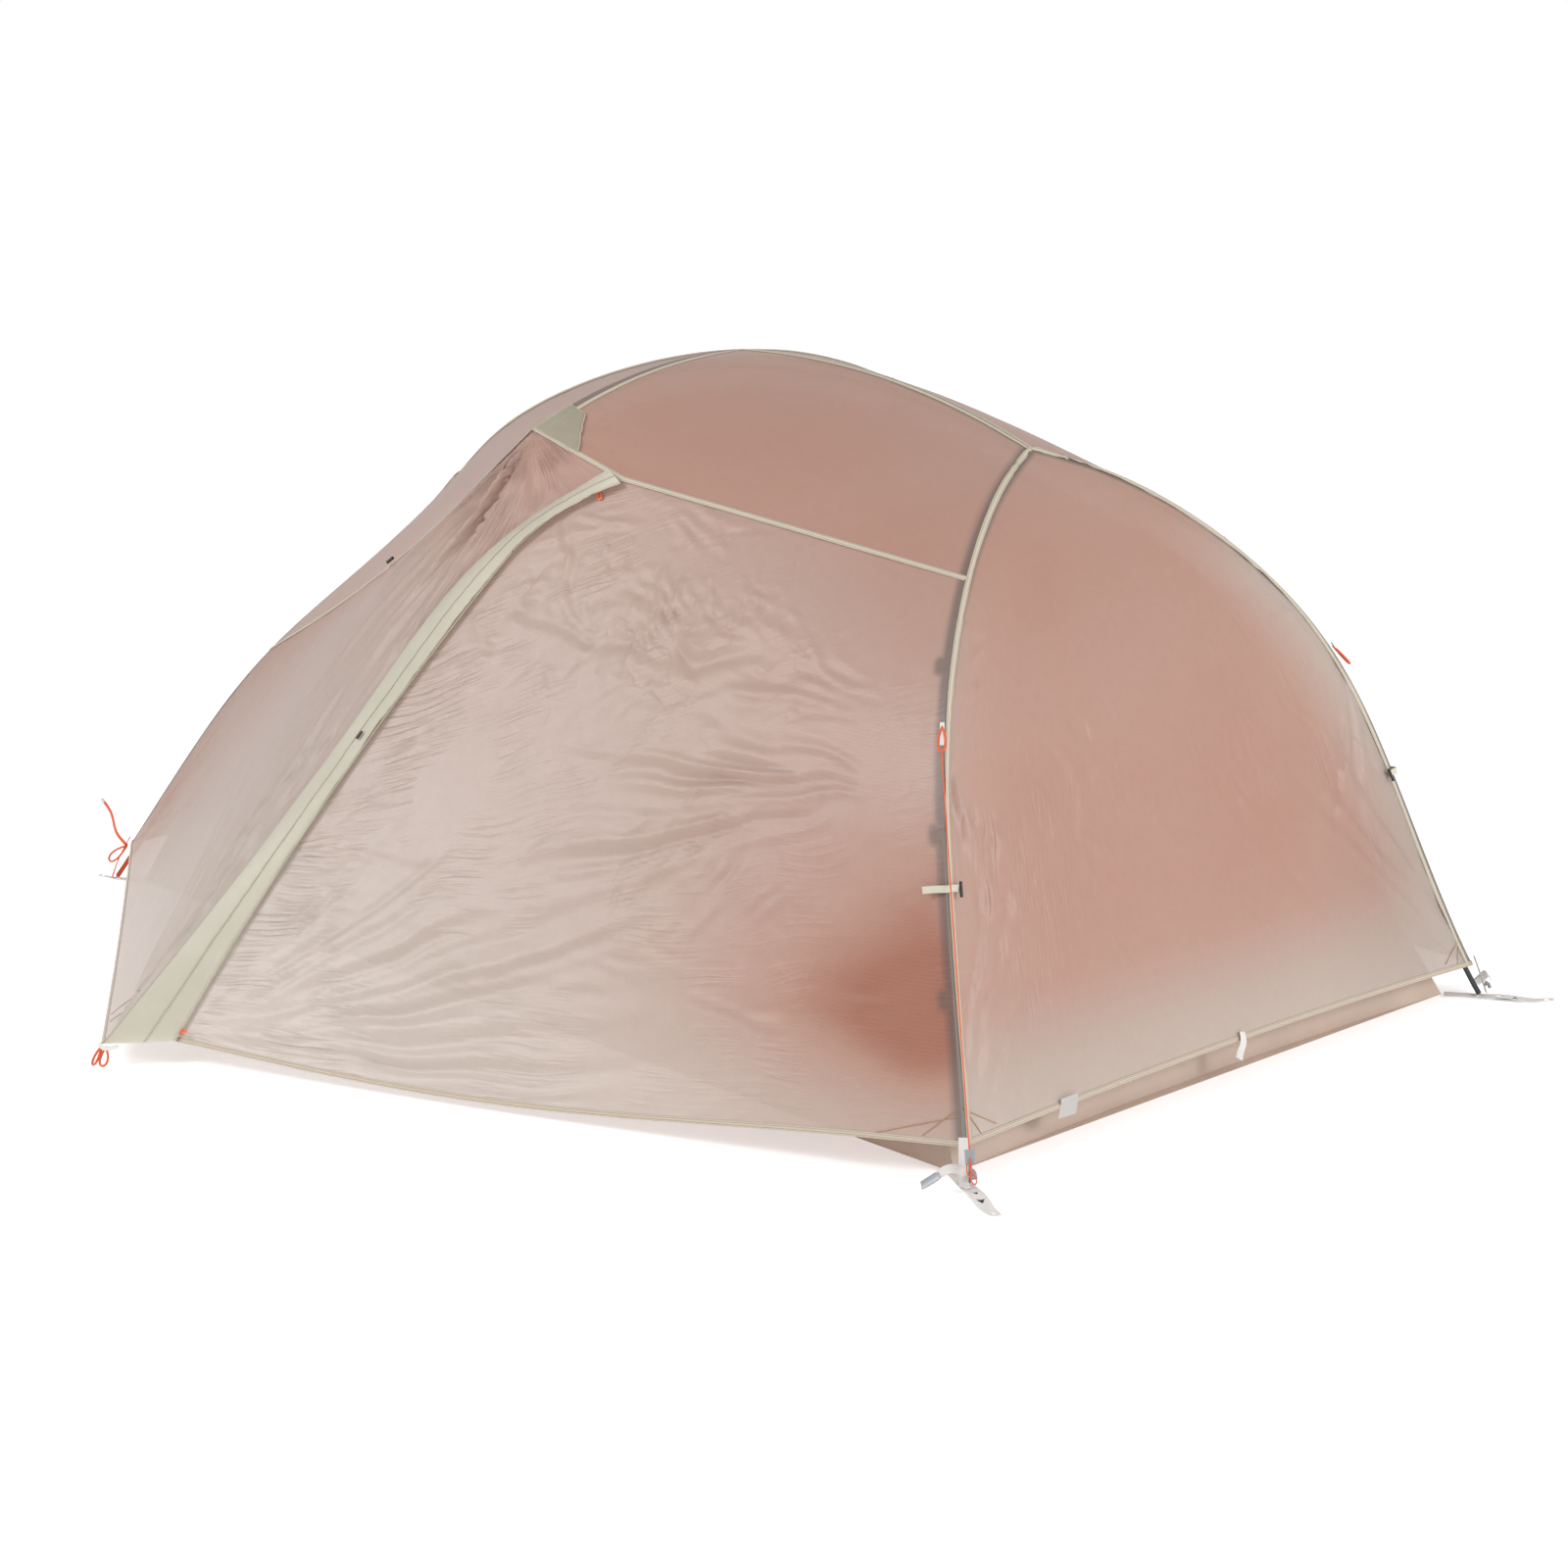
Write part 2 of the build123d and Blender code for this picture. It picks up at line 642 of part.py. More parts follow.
def ribbon(path, width, side):
    """Narrow webbing that follows a curve."""
    with BuildPart() as piece:
        with BuildSketch(Plane(origin=path @ 0, x_dir=side, z_dir=path % 0)):
            Rectangle(width, WEB_THICK)
        sweep(path=path)
    return piece.part


def loop(centre, long_way, facing_way, length, width, cord):
    """Closed cord loop, long one way and open in the direction it faces."""
    with BuildPart() as piece:
        with BuildSketch(Plane(origin=centre - facing_way * cord / 2, x_dir=long_way, z_dir=facing_way)):
            SlotOverall(length, width)
            SlotOverall(length - 2 * cord, width - 2 * cord, mode=Mode.SUBTRACT)
        extrude(amount=cord)
    return piece.part


def bar(centre, along, length, radius):
    """Small round toggle."""
    with BuildPart() as piece:
        with BuildSketch(Plane(origin=centre - along * length / 2, z_dir=along)):
            Circle(radius)
        extrude(amount=length)
        fillet(piece.edges(), radius * 0.6)
    return piece.part


def ladder(corner, tip_spot, width, length, windows):
    """Corner webbing flat on the ground: an eye for the pole tip and a stake hole in its outer end."""
    run = Vector(tip_spot.X - corner.X, tip_spot.Y - corner.Y, 0).normalized()
    start = Vector(corner.X, corner.Y, 0) + run * 4
    reach = (Vector(tip_spot.X, tip_spot.Y, 0) - start).length
    with BuildPart() as piece:
        with BuildSketch(Plane(origin=start, x_dir=run, z_dir=UP)):
            with Locations(((reach + length) / 2, 0)):
                RectangleRounded(reach + length, width, 3)
            with Locations((reach, 0)):
                Circle(TIP_HOLE_R, mode=Mode.SUBTRACT)
            with Locations((reach + length - 12, 0)):
                Circle(STAKE_HOLE_R, mode=Mode.SUBTRACT)
            for spot in windows:
                with Locations((reach + spot, 0)):
                    RegularPolygon(8, 3, mode=Mode.SUBTRACT)
        extrude(amount=2)
    return piece.part


head_tip, foot_tip = head_leg @ 1, foot_leg @ 1
head_ladder = ladder(floor_corners[0], head_tip, 26, 130, (34, 62))
foot_ladder = ladder(floor_corners[3], foot_tip, 14, 45, ())
gather(with_rear([head_ladder]), "head_corner_ladders")
gather(with_rear([foot_ladder]), "foot_corner_ladders")

front_right = Vector(0.7, -0.714, 0)
head_drop = head_corner + front_right * 8 - UP * 6
head_foot = Vector(head_drop.X + 14, head_drop.Y - 14, 6)
tail_start = head_foot + UP * 26 + Vector(2, -4, 0)
gather(
    with_rear(
        [
            strap(head_drop, head_foot, WEBBING, Vector(0.714, 0.7, 0)),
            strap(tail_start, Vector(tail_start.X - 46, tail_start.Y - 34, 4), WEBBING, Vector(0.6, -0.8, 0)),
        ]
    ),
    "head_corner_straps",
)
foot_out = Vector(-0.8, -0.6, 0)
foot_drop = foot_corner + foot_out * 11 - UP * 6
tail = curve(
    foot_drop + UP * 12 + foot_out * 4, foot_drop + Vector(-18, -12, 55), foot_drop + Vector(-44, -30, 92)
)
gather(
    with_rear(
        [
            strap(foot_drop, Vector(foot_drop.X - 32, foot_drop.Y - 18, 5), 9, Vector(-0.6, 0.8, 0)),
            ribbon(tail, 6, Vector(-0.6, 0.8, 0)),
        ]
    ),
    "foot_corner_straps",
)

guy_share = head_leg.param_at_point(Vector(985, -503, 600))
guy_spot = swell(head_leg @ guy_share, FLY_OFF + 12)
guy_side = outward(guy_spot)
guy_loop = loop(guy_spot, head_leg % guy_share, guy_side.cross(head_leg % guy_share), 38, 14, 2.4)
gather(with_rear([guy_loop]), "guy_loops")
guy_top = guy_spot + (head_leg % guy_share) * 20.5
guy_end = Vector(1232, -712, 34)
guyline_path = line(guy_top, guy_end)
save(rod(guyline_path, 0, guyline_path.length, GUY_CORD_R), "guyline")
guy_run = (guy_end - guy_top).normalized()
with BuildPart() as line_lock:
    with BuildSketch(Plane(origin=guy_end - guy_run * 36, x_dir=front_right, z_dir=guy_run)):
        RectangleRounded(9, 15, 3)
        Circle(GUY_CORD_R + 0.3, mode=Mode.SUBTRACT)
    extrude(amount=20)
save(line_lock, "line_lock")

tie_share = head_leg.param_at_point(Vector(1060, -577, 400))
tie_spot = swell(head_leg @ tie_share, FLY_OFF + 5)
tie_along = head_leg % tie_share
tie_side = outward(tie_spot).cross(tie_along).normalized()
tie_side = tie_side * (-1 if tie_side.X > 0 else 1)
tie_over = Vector(5, 0, 0)
tie_backs = [
    strap(tie_spot + tie_side * 3, tie_spot + tie_side * 34, 11, tie_along),
    strap(tie_spot + tie_over + UP * 0.5, tie_spot + tie_over + Vector(0, 22, -2), 11, tie_along),
]
gather(with_rear(tie_backs), "tie_back_straps")
toggle_spot = tie_spot + Vector(9, 26, -4)
with BuildPart() as toggle:
    add(bar(toggle_spot, tie_along, 24, 2.4))
save(toggle, "front_toggle")
save_rear(toggle, "rear_toggle")

flap_spot = lower_zip @ 0.4
flap_out = outward(flap_spot)
flap_spot = flap_spot - (lower_zip.arc_center - flap_spot).normalized() * 8 + flap_out * (FLAP_LIFT + 8)
seam_spot = SEAM_SAG + outward(SEAM_SAG) * 10
small_toggles = [bar(flap_spot, lower_zip % 0.4, 16, 2.2), bar(seam_spot, foot_seam % 0.5, 24, 3)]
gather(with_rear(small_toggles), "seam_toggles")

roof_face = Face.make_surface_from_array_of_points(head_roof, tol=0.1)
corner_u, corner_v = min(
    ((0, 0), (0, 1), (1, 0), (1, 1)), key=lambda uv: (roof_face.position_at(*uv) - brow_end).length
)
def patch_spot(i, j):
    """Point of the roof near the brow pole's end, in steps along and across the brow seam."""
    return roof_face.position_at(abs(corner_u - 0.01 - i * 0.04), abs(corner_v - 0.01 - j * 0.08))


patch_grid = [[patch_spot(i, j) for i in range(4)] for j in range(4)]
gather(with_rear([cloth(patch_grid, FABRIC + 1.5).part]), "brow_patches")


def stake_ring(centre, axis):
    """Round cord ring for a stake."""
    with BuildPart() as piece:
        with BuildSketch(Plane(origin=centre - axis * RING_BAND / 2, z_dir=axis)):
            Circle(RING_R + 2.2)
            Circle(RING_R, mode=Mode.SUBTRACT)
        extrude(amount=RING_BAND)
    return piece.part


ring_axis = Vector(0, -1, 1).normalized()
ring_spot = Vector(APEX.X + 6, APEX.Y - 10, 22)
stake_rings = [stake_ring(ring_spot, ring_axis), stake_ring(ring_spot + Vector(27, 0, 0), ring_axis)]
gather(with_rear(stake_rings), "apex_loops")

tie_low = head_hem(0.5) + Vector(6, 0, -34)
gather([strap(head_hem(0.5) + Vector(6, 0, -3), tie_low, 14, Vector(0, 1, 0))], "hem_tie")
label_spot = head_hem(0.82)
label_tag = strap(label_spot + Vector(6, 0, 12), label_spot + Vector(6, 0, -22), 40, Vector(0, 1, 0), 0.8)
gather([label_tag], "hem_label")
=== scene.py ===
"""Looks for the tent: cloth, seams, webbing, cord and finishes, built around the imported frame."""

import json
import math

import bpy
import numpy as np
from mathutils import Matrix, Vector, noise
from mathutils.bvhtree import BVHTree


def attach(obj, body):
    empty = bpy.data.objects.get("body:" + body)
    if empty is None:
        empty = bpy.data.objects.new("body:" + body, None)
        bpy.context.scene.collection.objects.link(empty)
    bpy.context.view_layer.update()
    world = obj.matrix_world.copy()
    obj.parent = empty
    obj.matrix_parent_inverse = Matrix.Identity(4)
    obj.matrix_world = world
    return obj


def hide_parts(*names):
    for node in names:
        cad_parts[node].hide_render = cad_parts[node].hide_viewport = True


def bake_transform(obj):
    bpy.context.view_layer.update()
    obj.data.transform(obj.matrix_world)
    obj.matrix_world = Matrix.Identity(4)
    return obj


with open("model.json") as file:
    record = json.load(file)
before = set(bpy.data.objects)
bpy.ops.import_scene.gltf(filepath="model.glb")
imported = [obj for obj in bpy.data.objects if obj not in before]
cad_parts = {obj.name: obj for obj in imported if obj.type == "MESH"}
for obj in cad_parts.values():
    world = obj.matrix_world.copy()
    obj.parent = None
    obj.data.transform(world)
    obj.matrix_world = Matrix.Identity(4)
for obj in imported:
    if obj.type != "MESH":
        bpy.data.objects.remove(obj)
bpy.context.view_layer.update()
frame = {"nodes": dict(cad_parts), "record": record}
nodes = frame["nodes"]
rng = np.random.default_rng(11)

# ---- design points of the CAD model, in metres ---------------------------------------------------------
HEAD_HUB, FOOT_HUB = np.array([0.715, 0, 0.970]), np.array([-0.750, 0, 0.815])
HEAD_JOIN, FOOT_JOIN, HEM_SHARE, FOOT_HEM = 0.295, 0.46, 0.955, 0.918
FLY_OFF, INNER_OFF = 0.016, -0.055
DOME = np.array([1.3, 0.75, 1.1])  # proportions of the ellipsoid that gives the way outward
HEAD_TIP, FOOT_TIP = np.array([1.205, -0.688, 0.008]), np.array([-1.205, -0.558, 0.008])
BROW_END = np.array([0.040, -0.478, 0.992])
FLOOR_HEAD, FLOOR_FOOT = np.array([1.15, -0.655]), np.array([-1.15, -0.530])
TUB_LEAN, TUB_TOP = 0.93, 0.152  # size of the tub's rim against the floor, and its height
ZIP_TOP, ZIP_BEND = np.array([0.230, -0.460, 0.930]), np.array([0.143, -0.518, 0.878])
ZIP_SHOULDER = np.array([0.085, -0.580, 0.808])
ZIP_MIDDLE, ZIP_FOOT = np.array([-0.040, -0.820, 0.475]), np.array([-0.095, -1.165, 0.040])
APEX = np.array([-0.157, -1.265, 0.040])
FLAP_POINTS = [ZIP_TOP, [0.015, -0.568, 0.786], [-0.091, -0.790, 0.512], APEX]
DOOR_HEM = [ZIP_FOOT, [0.445, -0.962, 0.016], [1.062, -0.732, 0.056]]
VESTIBULE_HEM = [-0.667, -0.899, 0.054]
SEAM_SAG = [-0.415, -0.440, 0.722]
CELL = 0.0066  # spacing of the cloth's points


# ---- geometry helpers ----------------------------------------------------------------------------------
def unit(v):
    v = np.asarray(v, float)
    return v / np.maximum(np.linalg.norm(v, axis=-1, keepdims=True), 1e-12)


def outward(p):
    return unit(np.asarray(p, float) / DOME**2)


def swell(p, distance):
    return np.asarray(p, float) + outward(p) * distance


def flip(p):
    return np.asarray(p, float) * np.array([1, -1, 1])


def resample(line, count, start=0.0, end=1.0):
    """Evenly spaced points on a polyline, between two shares of its length."""
    line = np.asarray(line, float)
    length = np.concatenate([[0], np.cumsum(np.linalg.norm(np.diff(line, axis=0), axis=1))])
    at = np.linspace(start, end, count) * length[-1]
    return np.stack([np.interp(at, length, line[:, k]) for k in range(3)], 1)


def spline(points, count=160):
    """Natural cubic spline through the points, sampled evenly along its length."""
    p = np.asarray([np.asarray(q, float) for q in points])
    t = np.concatenate([[0], np.cumsum(np.linalg.norm(np.diff(p, axis=0), axis=1))])
    n, h = len(p), np.diff(t)
    system, right = np.eye(n), np.zeros((n, 3))
    for i in range(1, n - 1):
        system[i, i - 1 : i + 2] = h[i - 1], 2 * (h[i - 1] + h[i]), h[i]
        right[i] = 6 * ((p[i + 1] - p[i]) / h[i] - (p[i] - p[i - 1]) / h[i - 1])
    m = np.linalg.solve(system, right)
    out = []
    for s in np.linspace(0, t[-1], 6 * count):
        i = min(np.searchsorted(t, s, "right") - 1, n - 2)
        a, b = (t[i + 1] - s) / h[i], (s - t[i]) / h[i]
        bend = ((a**3 - a) * m[i] + (b**3 - b) * m[i + 1]) * h[i] ** 2 / 6
        out.append(a * p[i] + b * p[i + 1] + bend)
    return resample(out, count)


def arc(a, b, c, count=80):
    """Circular arc through three points."""
    ab, ac = b - a, c - a
    n = np.cross(ab, ac)
    centre = a + (np.cross(n, ab) * (ac @ ac) + np.cross(ac, n) * (ab @ ab)) / (2 * (n @ n))
    x = unit(a - centre)
    y = unit(np.cross(n, x))
    r, end = np.linalg.norm(a - centre), math.atan2((c - centre) @ y, (c - centre) @ x)
    angle = np.linspace(0, end, count)[:, None]
    return centre + r * (x * np.cos(angle) + y * np.sin(angle))


def slice_centre(name, axis, value, front=False):
    """Middle of a tube of a CAD node where it crosses a plane."""
    mesh = nodes[name].data
    co = np.array([v.co for v in mesh.vertices], float)
    ends = co[np.array([e.vertices[:] for e in mesh.edges])]
    d = ends[:, :, axis] - value
    crossing = d[:, 0] * d[:, 1] < 0
    a, b, t = ends[crossing, 0], ends[crossing, 1], (d[:, 0] / (d[:, 0] - d[:, 1] + 1e-15))[crossing, None]
    points = a + (b - a) * t
    if front:
        points = points[points[:, 1] < 0]
    return (points.min(0) + points.max(0)) / 2


def leg_line(name, hub, levels, tip):
    return spline([hub] + [slice_centre(name, 2, z, True) for z in levels] + [tip])


HEAD_CUTS = (0.93, 0.86, 0.77, 0.66, 0.54, 0.42, 0.3, 0.18, 0.07)
FOOT_CUTS = (0.77, 0.69, 0.6, 0.5, 0.4, 0.28, 0.17, 0.07)
RIDGE_CUTS = (0.6, 0.45, 0.3, 0.12, -0.05, -0.2, -0.35, -0.5, -0.63)
BROW_CUTS = (-0.4, -0.3, -0.2, -0.1, 0.0)
head_leg = leg_line("head_leg_poles", HEAD_HUB, HEAD_CUTS, HEAD_TIP)
foot_leg = leg_line("foot_leg_poles", FOOT_HUB, FOOT_CUTS, FOOT_TIP)
ridge = spline([HEAD_HUB] + [slice_centre("ridge_pole", 0, x) for x in RIDGE_CUTS] + [FOOT_HUB])
brow = spline([BROW_END] + [slice_centre("brow_pole", 1, y) for y in BROW_CUTS])
CROSS = (0.715 - 0.04) / (0.715 + 0.75) * 0.979  # share of the ridge pole where the brow pole crosses it


def fly(line, count, start=0.0, end=1.0, off=FLY_OFF):
    return swell(resample(line, count, start, end), off)


def cells(line):
    """Number of mesh points that suits a line's length."""
    return max(4, int(round(np.linalg.norm(np.diff(line, axis=0), axis=1).sum() / CELL)) + 1)


def coons(top, bottom, left, right):
    """Grid of points stretched between four sampled edges, rows running down."""
    u = np.linspace(0, 1, len(top))[None, :, None]
    v = np.linspace(0, 1, len(left))[:, None, None]
    across = top[None] * (1 - v) + bottom[None] * v
    down = left[:, None] * (1 - u) + right[:, None] * u
    corners = (top[0] * (1 - u) + top[-1] * u) * (1 - v) + (bottom[0] * (1 - u) + bottom[-1] * u) * v
    return across + down - corners


def relax(grid, steps):
    """Lets the inside of a grid settle like a tight membrane, its edges held."""
    g = grid.copy()
    for _ in range(steps):
        g[1:-1, 1:-1] = (g[:-2, 1:-1] + g[2:, 1:-1] + g[1:-1, :-2] + g[1:-1, 2:]) / 4
    return g


def normals(grid):
    n = unit(np.cross(np.gradient(grid, axis=0), np.gradient(grid, axis=1)))
    toward = np.sum(n * outward(grid), axis=-1, keepdims=True)
    n = np.where(toward < 0, -n, n)
    bad = np.linalg.norm(n, axis=-1, keepdims=True) < 0.5
    return np.where(bad, outward(grid), n)


def hold(grid, margin=3):
    """1 inside a grid, falling to 0 at its edges, so that wrinkles never open a seam."""
    rows, columns = grid.shape[:2]
    r = np.minimum(np.arange(rows), np.arange(rows)[::-1])[:, None]
    c = np.minimum(np.arange(columns), np.arange(columns)[::-1])[None]
    return np.clip(np.minimum(r, c) / margin, 0, 1)[..., None]


def flat_map(grid):
    """The sheet laid out flat, in metres, with a slow wobble so that no wrinkle runs dead straight."""
    rows, columns = grid.shape[:2]
    wide = np.linalg.norm(np.diff(grid, axis=1), axis=2).sum(1).mean()
    tall = np.linalg.norm(np.diff(grid, axis=0), axis=2).sum(0).mean()
    u, v = np.meshgrid(np.linspace(0, 1, columns) * wide, np.linspace(0, 1, rows) * tall)
    wobble = 0.006 * np.stack([np.sin(u * 21 + 3 * np.sin(v * 9)), np.sin(v * 19 + 3 * np.sin(u * 11))], -1)
    return np.stack([u, v], -1) + wobble, np.array([wide, tall])


def creases(grid, lines, widths, heights):
    """Height field of wrinkles. Each line is a start and an end on the flat sheet; ridges fade at both."""
    p = flat_map(grid)[0]
    total = np.zeros(grid.shape[:2])
    for (start, end), width, height in zip(lines, widths, heights):
        run = end - start
        t = ((p - start) @ run) / (run @ run)
        inside = (t > 0) & (t < 1)
        side = (p[inside] - start) @ np.array([-run[1], run[0]]) / np.linalg.norm(run)
        t = t[inside]
        fade = np.clip(t * np.linalg.norm(run) / 0.03, 0, 1) * np.clip((1 - t) * 2.2, 0, 1)
        spread = width * (0.55 + 0.9 * t)
        ridge_shape = np.exp(-((side / spread) ** 2))
        valley_shape = np.exp(-(((side - 1.7 * spread) / spread) ** 2))
        total[inside] += height * fade * (ridge_shape - 0.45 * valley_shape)
    return total[..., None]


def fan(grid, row, column, toward, count, spread, reach, height, width=0.006, near=0.0):
    """Wrinkles that run out from a pulled point of a sheet. toward is another point, as (row, column)."""
    size = flat_map(grid)[1]
    anchor = np.array([column, row]) * size
    aim = np.array([toward[1], toward[0]]) * size - anchor
    side = np.array([-aim[1], aim[0]])
    lines, widths, heights = [], [], []
    for i in range(count):
        angle = spread * (2 * (i + rng.uniform(-0.5, 0.5)) / max(count - 1, 1) - 1)
        way = aim * math.cos(angle) + side * math.sin(angle)
        first, last = max(near + rng.uniform(0.0, 0.3), 0.01), rng.uniform(0.4, 1.0) * reach
        lines.append((anchor + way * first, anchor + way * max(last, first + 0.15)))
        widths.append(width * rng.uniform(0.7, 1.7))
        heights.append(height * rng.uniform(0.4, 1.0) * rng.choice([-1, 1]))
    return creases(grid, lines, widths, heights)


def fans(grid, *rows):
    """Several groups of pulled wrinkles on one sheet."""
    return sum(fan(grid, *row) for row in rows)


def scatter(grid, centre, size, count, angle, length, height, width=0.005):
    """Loose short creases around a place on a sheet, mostly one way."""
    scale = flat_map(grid)[1]
    lines, widths, heights = [], [], []
    for _ in range(count):
        spot = (np.array([centre[1], centre[0]]) + rng.normal(0, 1, 2) * np.array(size)) * scale
        turn, reach = angle + rng.normal(0, 0.35), length * rng.uniform(0.4, 1.3)
        way = np.array([math.cos(turn), math.sin(turn)]) * reach / 2
        lines.append((spot - way, spot + way))
        widths.append(width * rng.uniform(0.6, 1.6))
        heights.append(height * rng.uniform(0.4, 1.0) * rng.choice([-1, 1]))
    return creases(grid, lines, widths, heights)


def crinkle(grid, size, height, seed, stretch=(1, 1, 1)):
    """Fine uneven cloth surface."""
    p = grid.reshape(-1, 3) / np.array(stretch) / size
    values = [noise.fractal(Vector(q) + Vector((seed, 0, 0)), 0.9, 2.0, 3) for q in p]
    return np.array(values).reshape(grid.shape[:2])[..., None] * height


# ---- inner tent ----------------------------------------------------------------------------------------
rim_head, rim_foot = (np.append(corner * TUB_LEAN, TUB_TOP + 0.002) for corner in (FLOOR_HEAD, FLOOR_FOOT))
in_head = swell(resample(head_leg, 3, 0, 2 * HEAD_JOIN)[1], INNER_OFF)
in_foot = swell(resample(foot_leg, 3, 0, 2 * FOOT_JOIN)[1], INNER_OFF)
in_brow = swell(brow[0], INNER_OFF)
in_head_leg = fly(head_leg, 20, 0, HEAD_JOIN, INNER_OFF)
in_foot_leg = fly(foot_leg, 28, 0, FOOT_JOIN, INNER_OFF)
in_head_side = resample(spline([in_head, swell(head_leg[99], INNER_OFF - 0.03), rim_head]), 34)
in_foot_side = resample(spline([in_foot, swell(foot_leg[112], INNER_OFF - 0.02), rim_foot]), 24)
in_ridge_head, in_ridge_foot = fly(ridge, 34, CROSS, 0, INNER_OFF), fly(ridge, 40, 1, CROSS, INNER_OFF)
in_brow_line = fly(brow, 20, 1, 0, INNER_OFF)
inner = {
    "head_roof": coons(in_ridge_head, resample([in_brow, in_head], 34), in_brow_line, in_head_leg),
    "foot_roof": coons(
        in_ridge_foot, resample([in_foot, in_brow], 40), in_foot_leg, resample(in_brow_line, 28)
    ),
}


def end_wall(leg, side, columns, bow):
    """End wall between a pair of side edges."""
    edge = np.concatenate([leg, side[1:]])
    rear = flip(edge)
    u = np.linspace(0, 1, columns)[None, :, None]
    belly = 4 * u * (1 - u) * np.linspace(0, 1, len(edge))[:, None, None] ** 0.5
    grid = edge[:, None] * (1 - u) + rear[:, None] * u
    return grid + belly * np.array([bow, 0, 0])


inner["head_wall"] = end_wall(in_head_leg, in_head_side, 48, 0.004)
inner["foot_wall"] = end_wall(in_foot_leg, in_foot_side, 40, -0.004)


def sample(grid, v, u):
    """Points of a grid at shares of its rows and columns."""
    rows, columns = grid.shape[:2]
    v, u = np.broadcast_arrays(np.clip(v, 0, 1) * (rows - 1), np.clip(u, 0, 1) * (columns - 1))
    i, j = np.minimum(v.astype(int), rows - 2), np.minimum(u.astype(int), columns - 2)
    a, b = (v - i)[..., None], (u - j)[..., None]
    high = grid[i, j] * (1 - b) + grid[i, j + 1] * b
    low = grid[i + 1, j] * (1 - b) + grid[i + 1, j + 1] * b
    return high * (1 - a) + low * a


high_side = np.concatenate([resample([in_foot, in_brow], 100), resample([in_brow, in_head], 101)[1:]])
whole_side = coons(
    high_side, resample([rim_foot, rim_head], 200), resample(in_foot_side, 120), resample(in_head_side, 120)
)


def side_wall(u0, u1, top, bottom, columns, rows=30):
    """Part of the inner side wall, between shares of its length and two edges across it."""
    s, f = np.linspace(0, 1, columns)[None, :], np.linspace(0, 1, rows)[:, None]
    return sample(whole_side, top(s) + (bottom(s) - top(s)) * f, u0 + (u1 - u0) * s)


HINGE, END, SILL, CUT = 0.375, 0.635, 0.955, 0.0015  # sides and sill of the inner doorway, and half its gap


def arch(s):
    """Top of the inner doorway, which curves down to its free side."""
    return 0.16 + 0.795 * 0.75 * s**3


def level(height):
    return lambda s: 0 * s + height


inner["side_foot"] = side_wall(0, HINGE, level(0), level(1), 40)
inner["side_head"] = side_wall(END, 1, level(0), level(1), 40)
inner["side_top"] = side_wall(HINGE, END, level(0), arch, 30, 24)
inner["side_sill"] = side_wall(HINGE, END, level(SILL), level(1), 30, 4)
inner_door = side_wall(HINGE + CUT, END - CUT, lambda s: arch(s) + 2 * CUT, level(SILL - 2 * CUT), 34, 34)

# ---- rainfly edges -------------------------------------------------------------------------------------
head_join, foot_join = fly(head_leg, 3, 0, 2 * HEAD_JOIN)[1], fly(foot_leg, 3, 0, 2 * FOOT_JOIN)[1]
head_corner, foot_corner = fly(head_leg, 2, 0, HEM_SHARE)[1], fly(foot_leg, 2, 0, FOOT_HEM)[1]
brow_end = swell(brow[0], FLY_OFF)
foot_seam = spline([foot_join, SEAM_SAG, brow_end])
zip_path = np.concatenate([arc(ZIP_TOP, ZIP_BEND, ZIP_SHOULDER), arc(ZIP_SHOULDER, ZIP_MIDDLE, ZIP_FOOT)[1:]])
flap_path = spline(FLAP_POINTS)
door_hem = spline(DOOR_HEM + [head_corner])
vestibule_hem = spline([foot_corner, VESTIBULE_HEM, APEX])

n_brow = cells(brow)
n_ridge_head = cells(resample(ridge, 50, 0, CROSS))
n_ridge_foot = cells(resample(ridge, 50, CROSS, 1))
n_head_up = n_brow
n_head_low = cells(resample(head_leg, 50, HEAD_JOIN, HEM_SHARE))
n_foot_up, n_foot_low = n_brow, cells(resample(foot_leg, 50, FOOT_JOIN, FOOT_HEM))
n_door_seam = max(8, int(n_ridge_head * 0.24))
n_quarter = n_ridge_head - n_door_seam + 1

seam_door = resample([brow_end, ZIP_TOP], n_door_seam)
seam_quarter = resample([ZIP_TOP, head_join], n_quarter)
seam_foot = resample(foot_seam, n_ridge_foot)
panels = {}
panels["head_roof"] = coons(
    fly(ridge, n_ridge_head, CROSS, 0), np.concatenate([seam_door, seam_quarter[1:]]),
    fly(brow, n_brow, 1, 0), fly(head_leg, n_head_up, 0, HEAD_JOIN),
)
panels["foot_roof"] = coons(
    fly(ridge, n_ridge_foot, 1, CROSS), seam_foot,
    fly(foot_leg, n_foot_up, 0, FOOT_JOIN), fly(brow, n_brow, 1, 0),
)
head_low = fly(head_leg, n_head_low, HEAD_JOIN, HEM_SHARE)
foot_low = fly(foot_leg, n_foot_low, FOOT_JOIN, FOOT_HEM)
n_vest = n_ridge_foot + n_door_seam - 1
panels["vestibule"] = coons(
    np.concatenate([seam_foot, seam_door[1:]]), resample(vestibule_hem, n_vest),
    foot_low, resample(flap_path, n_foot_low),
)
n_sheet = cells(door_hem)
zip_edge = resample(zip_path, n_head_low)
toward_door = unit(np.cross(unit(np.gradient(zip_edge, axis=0)), outward(zip_edge)))
if toward_door[n_head_low // 2][0] < 0:
    toward_door = -toward_door
door_edge = zip_edge + toward_door * 0.0035 * np.clip(np.linspace(0, 40, n_head_low), 0, 1)[:, None]
door_top, door_low = resample(seam_quarter, n_sheet), resample(door_hem, n_sheet)
door_low = door_low + (door_edge[-1] - door_low[0]) * np.clip(1 - np.linspace(0, 20, n_sheet), 0, 1)[:, None]
door_sheet = coons(door_top, door_low, door_edge, head_low)


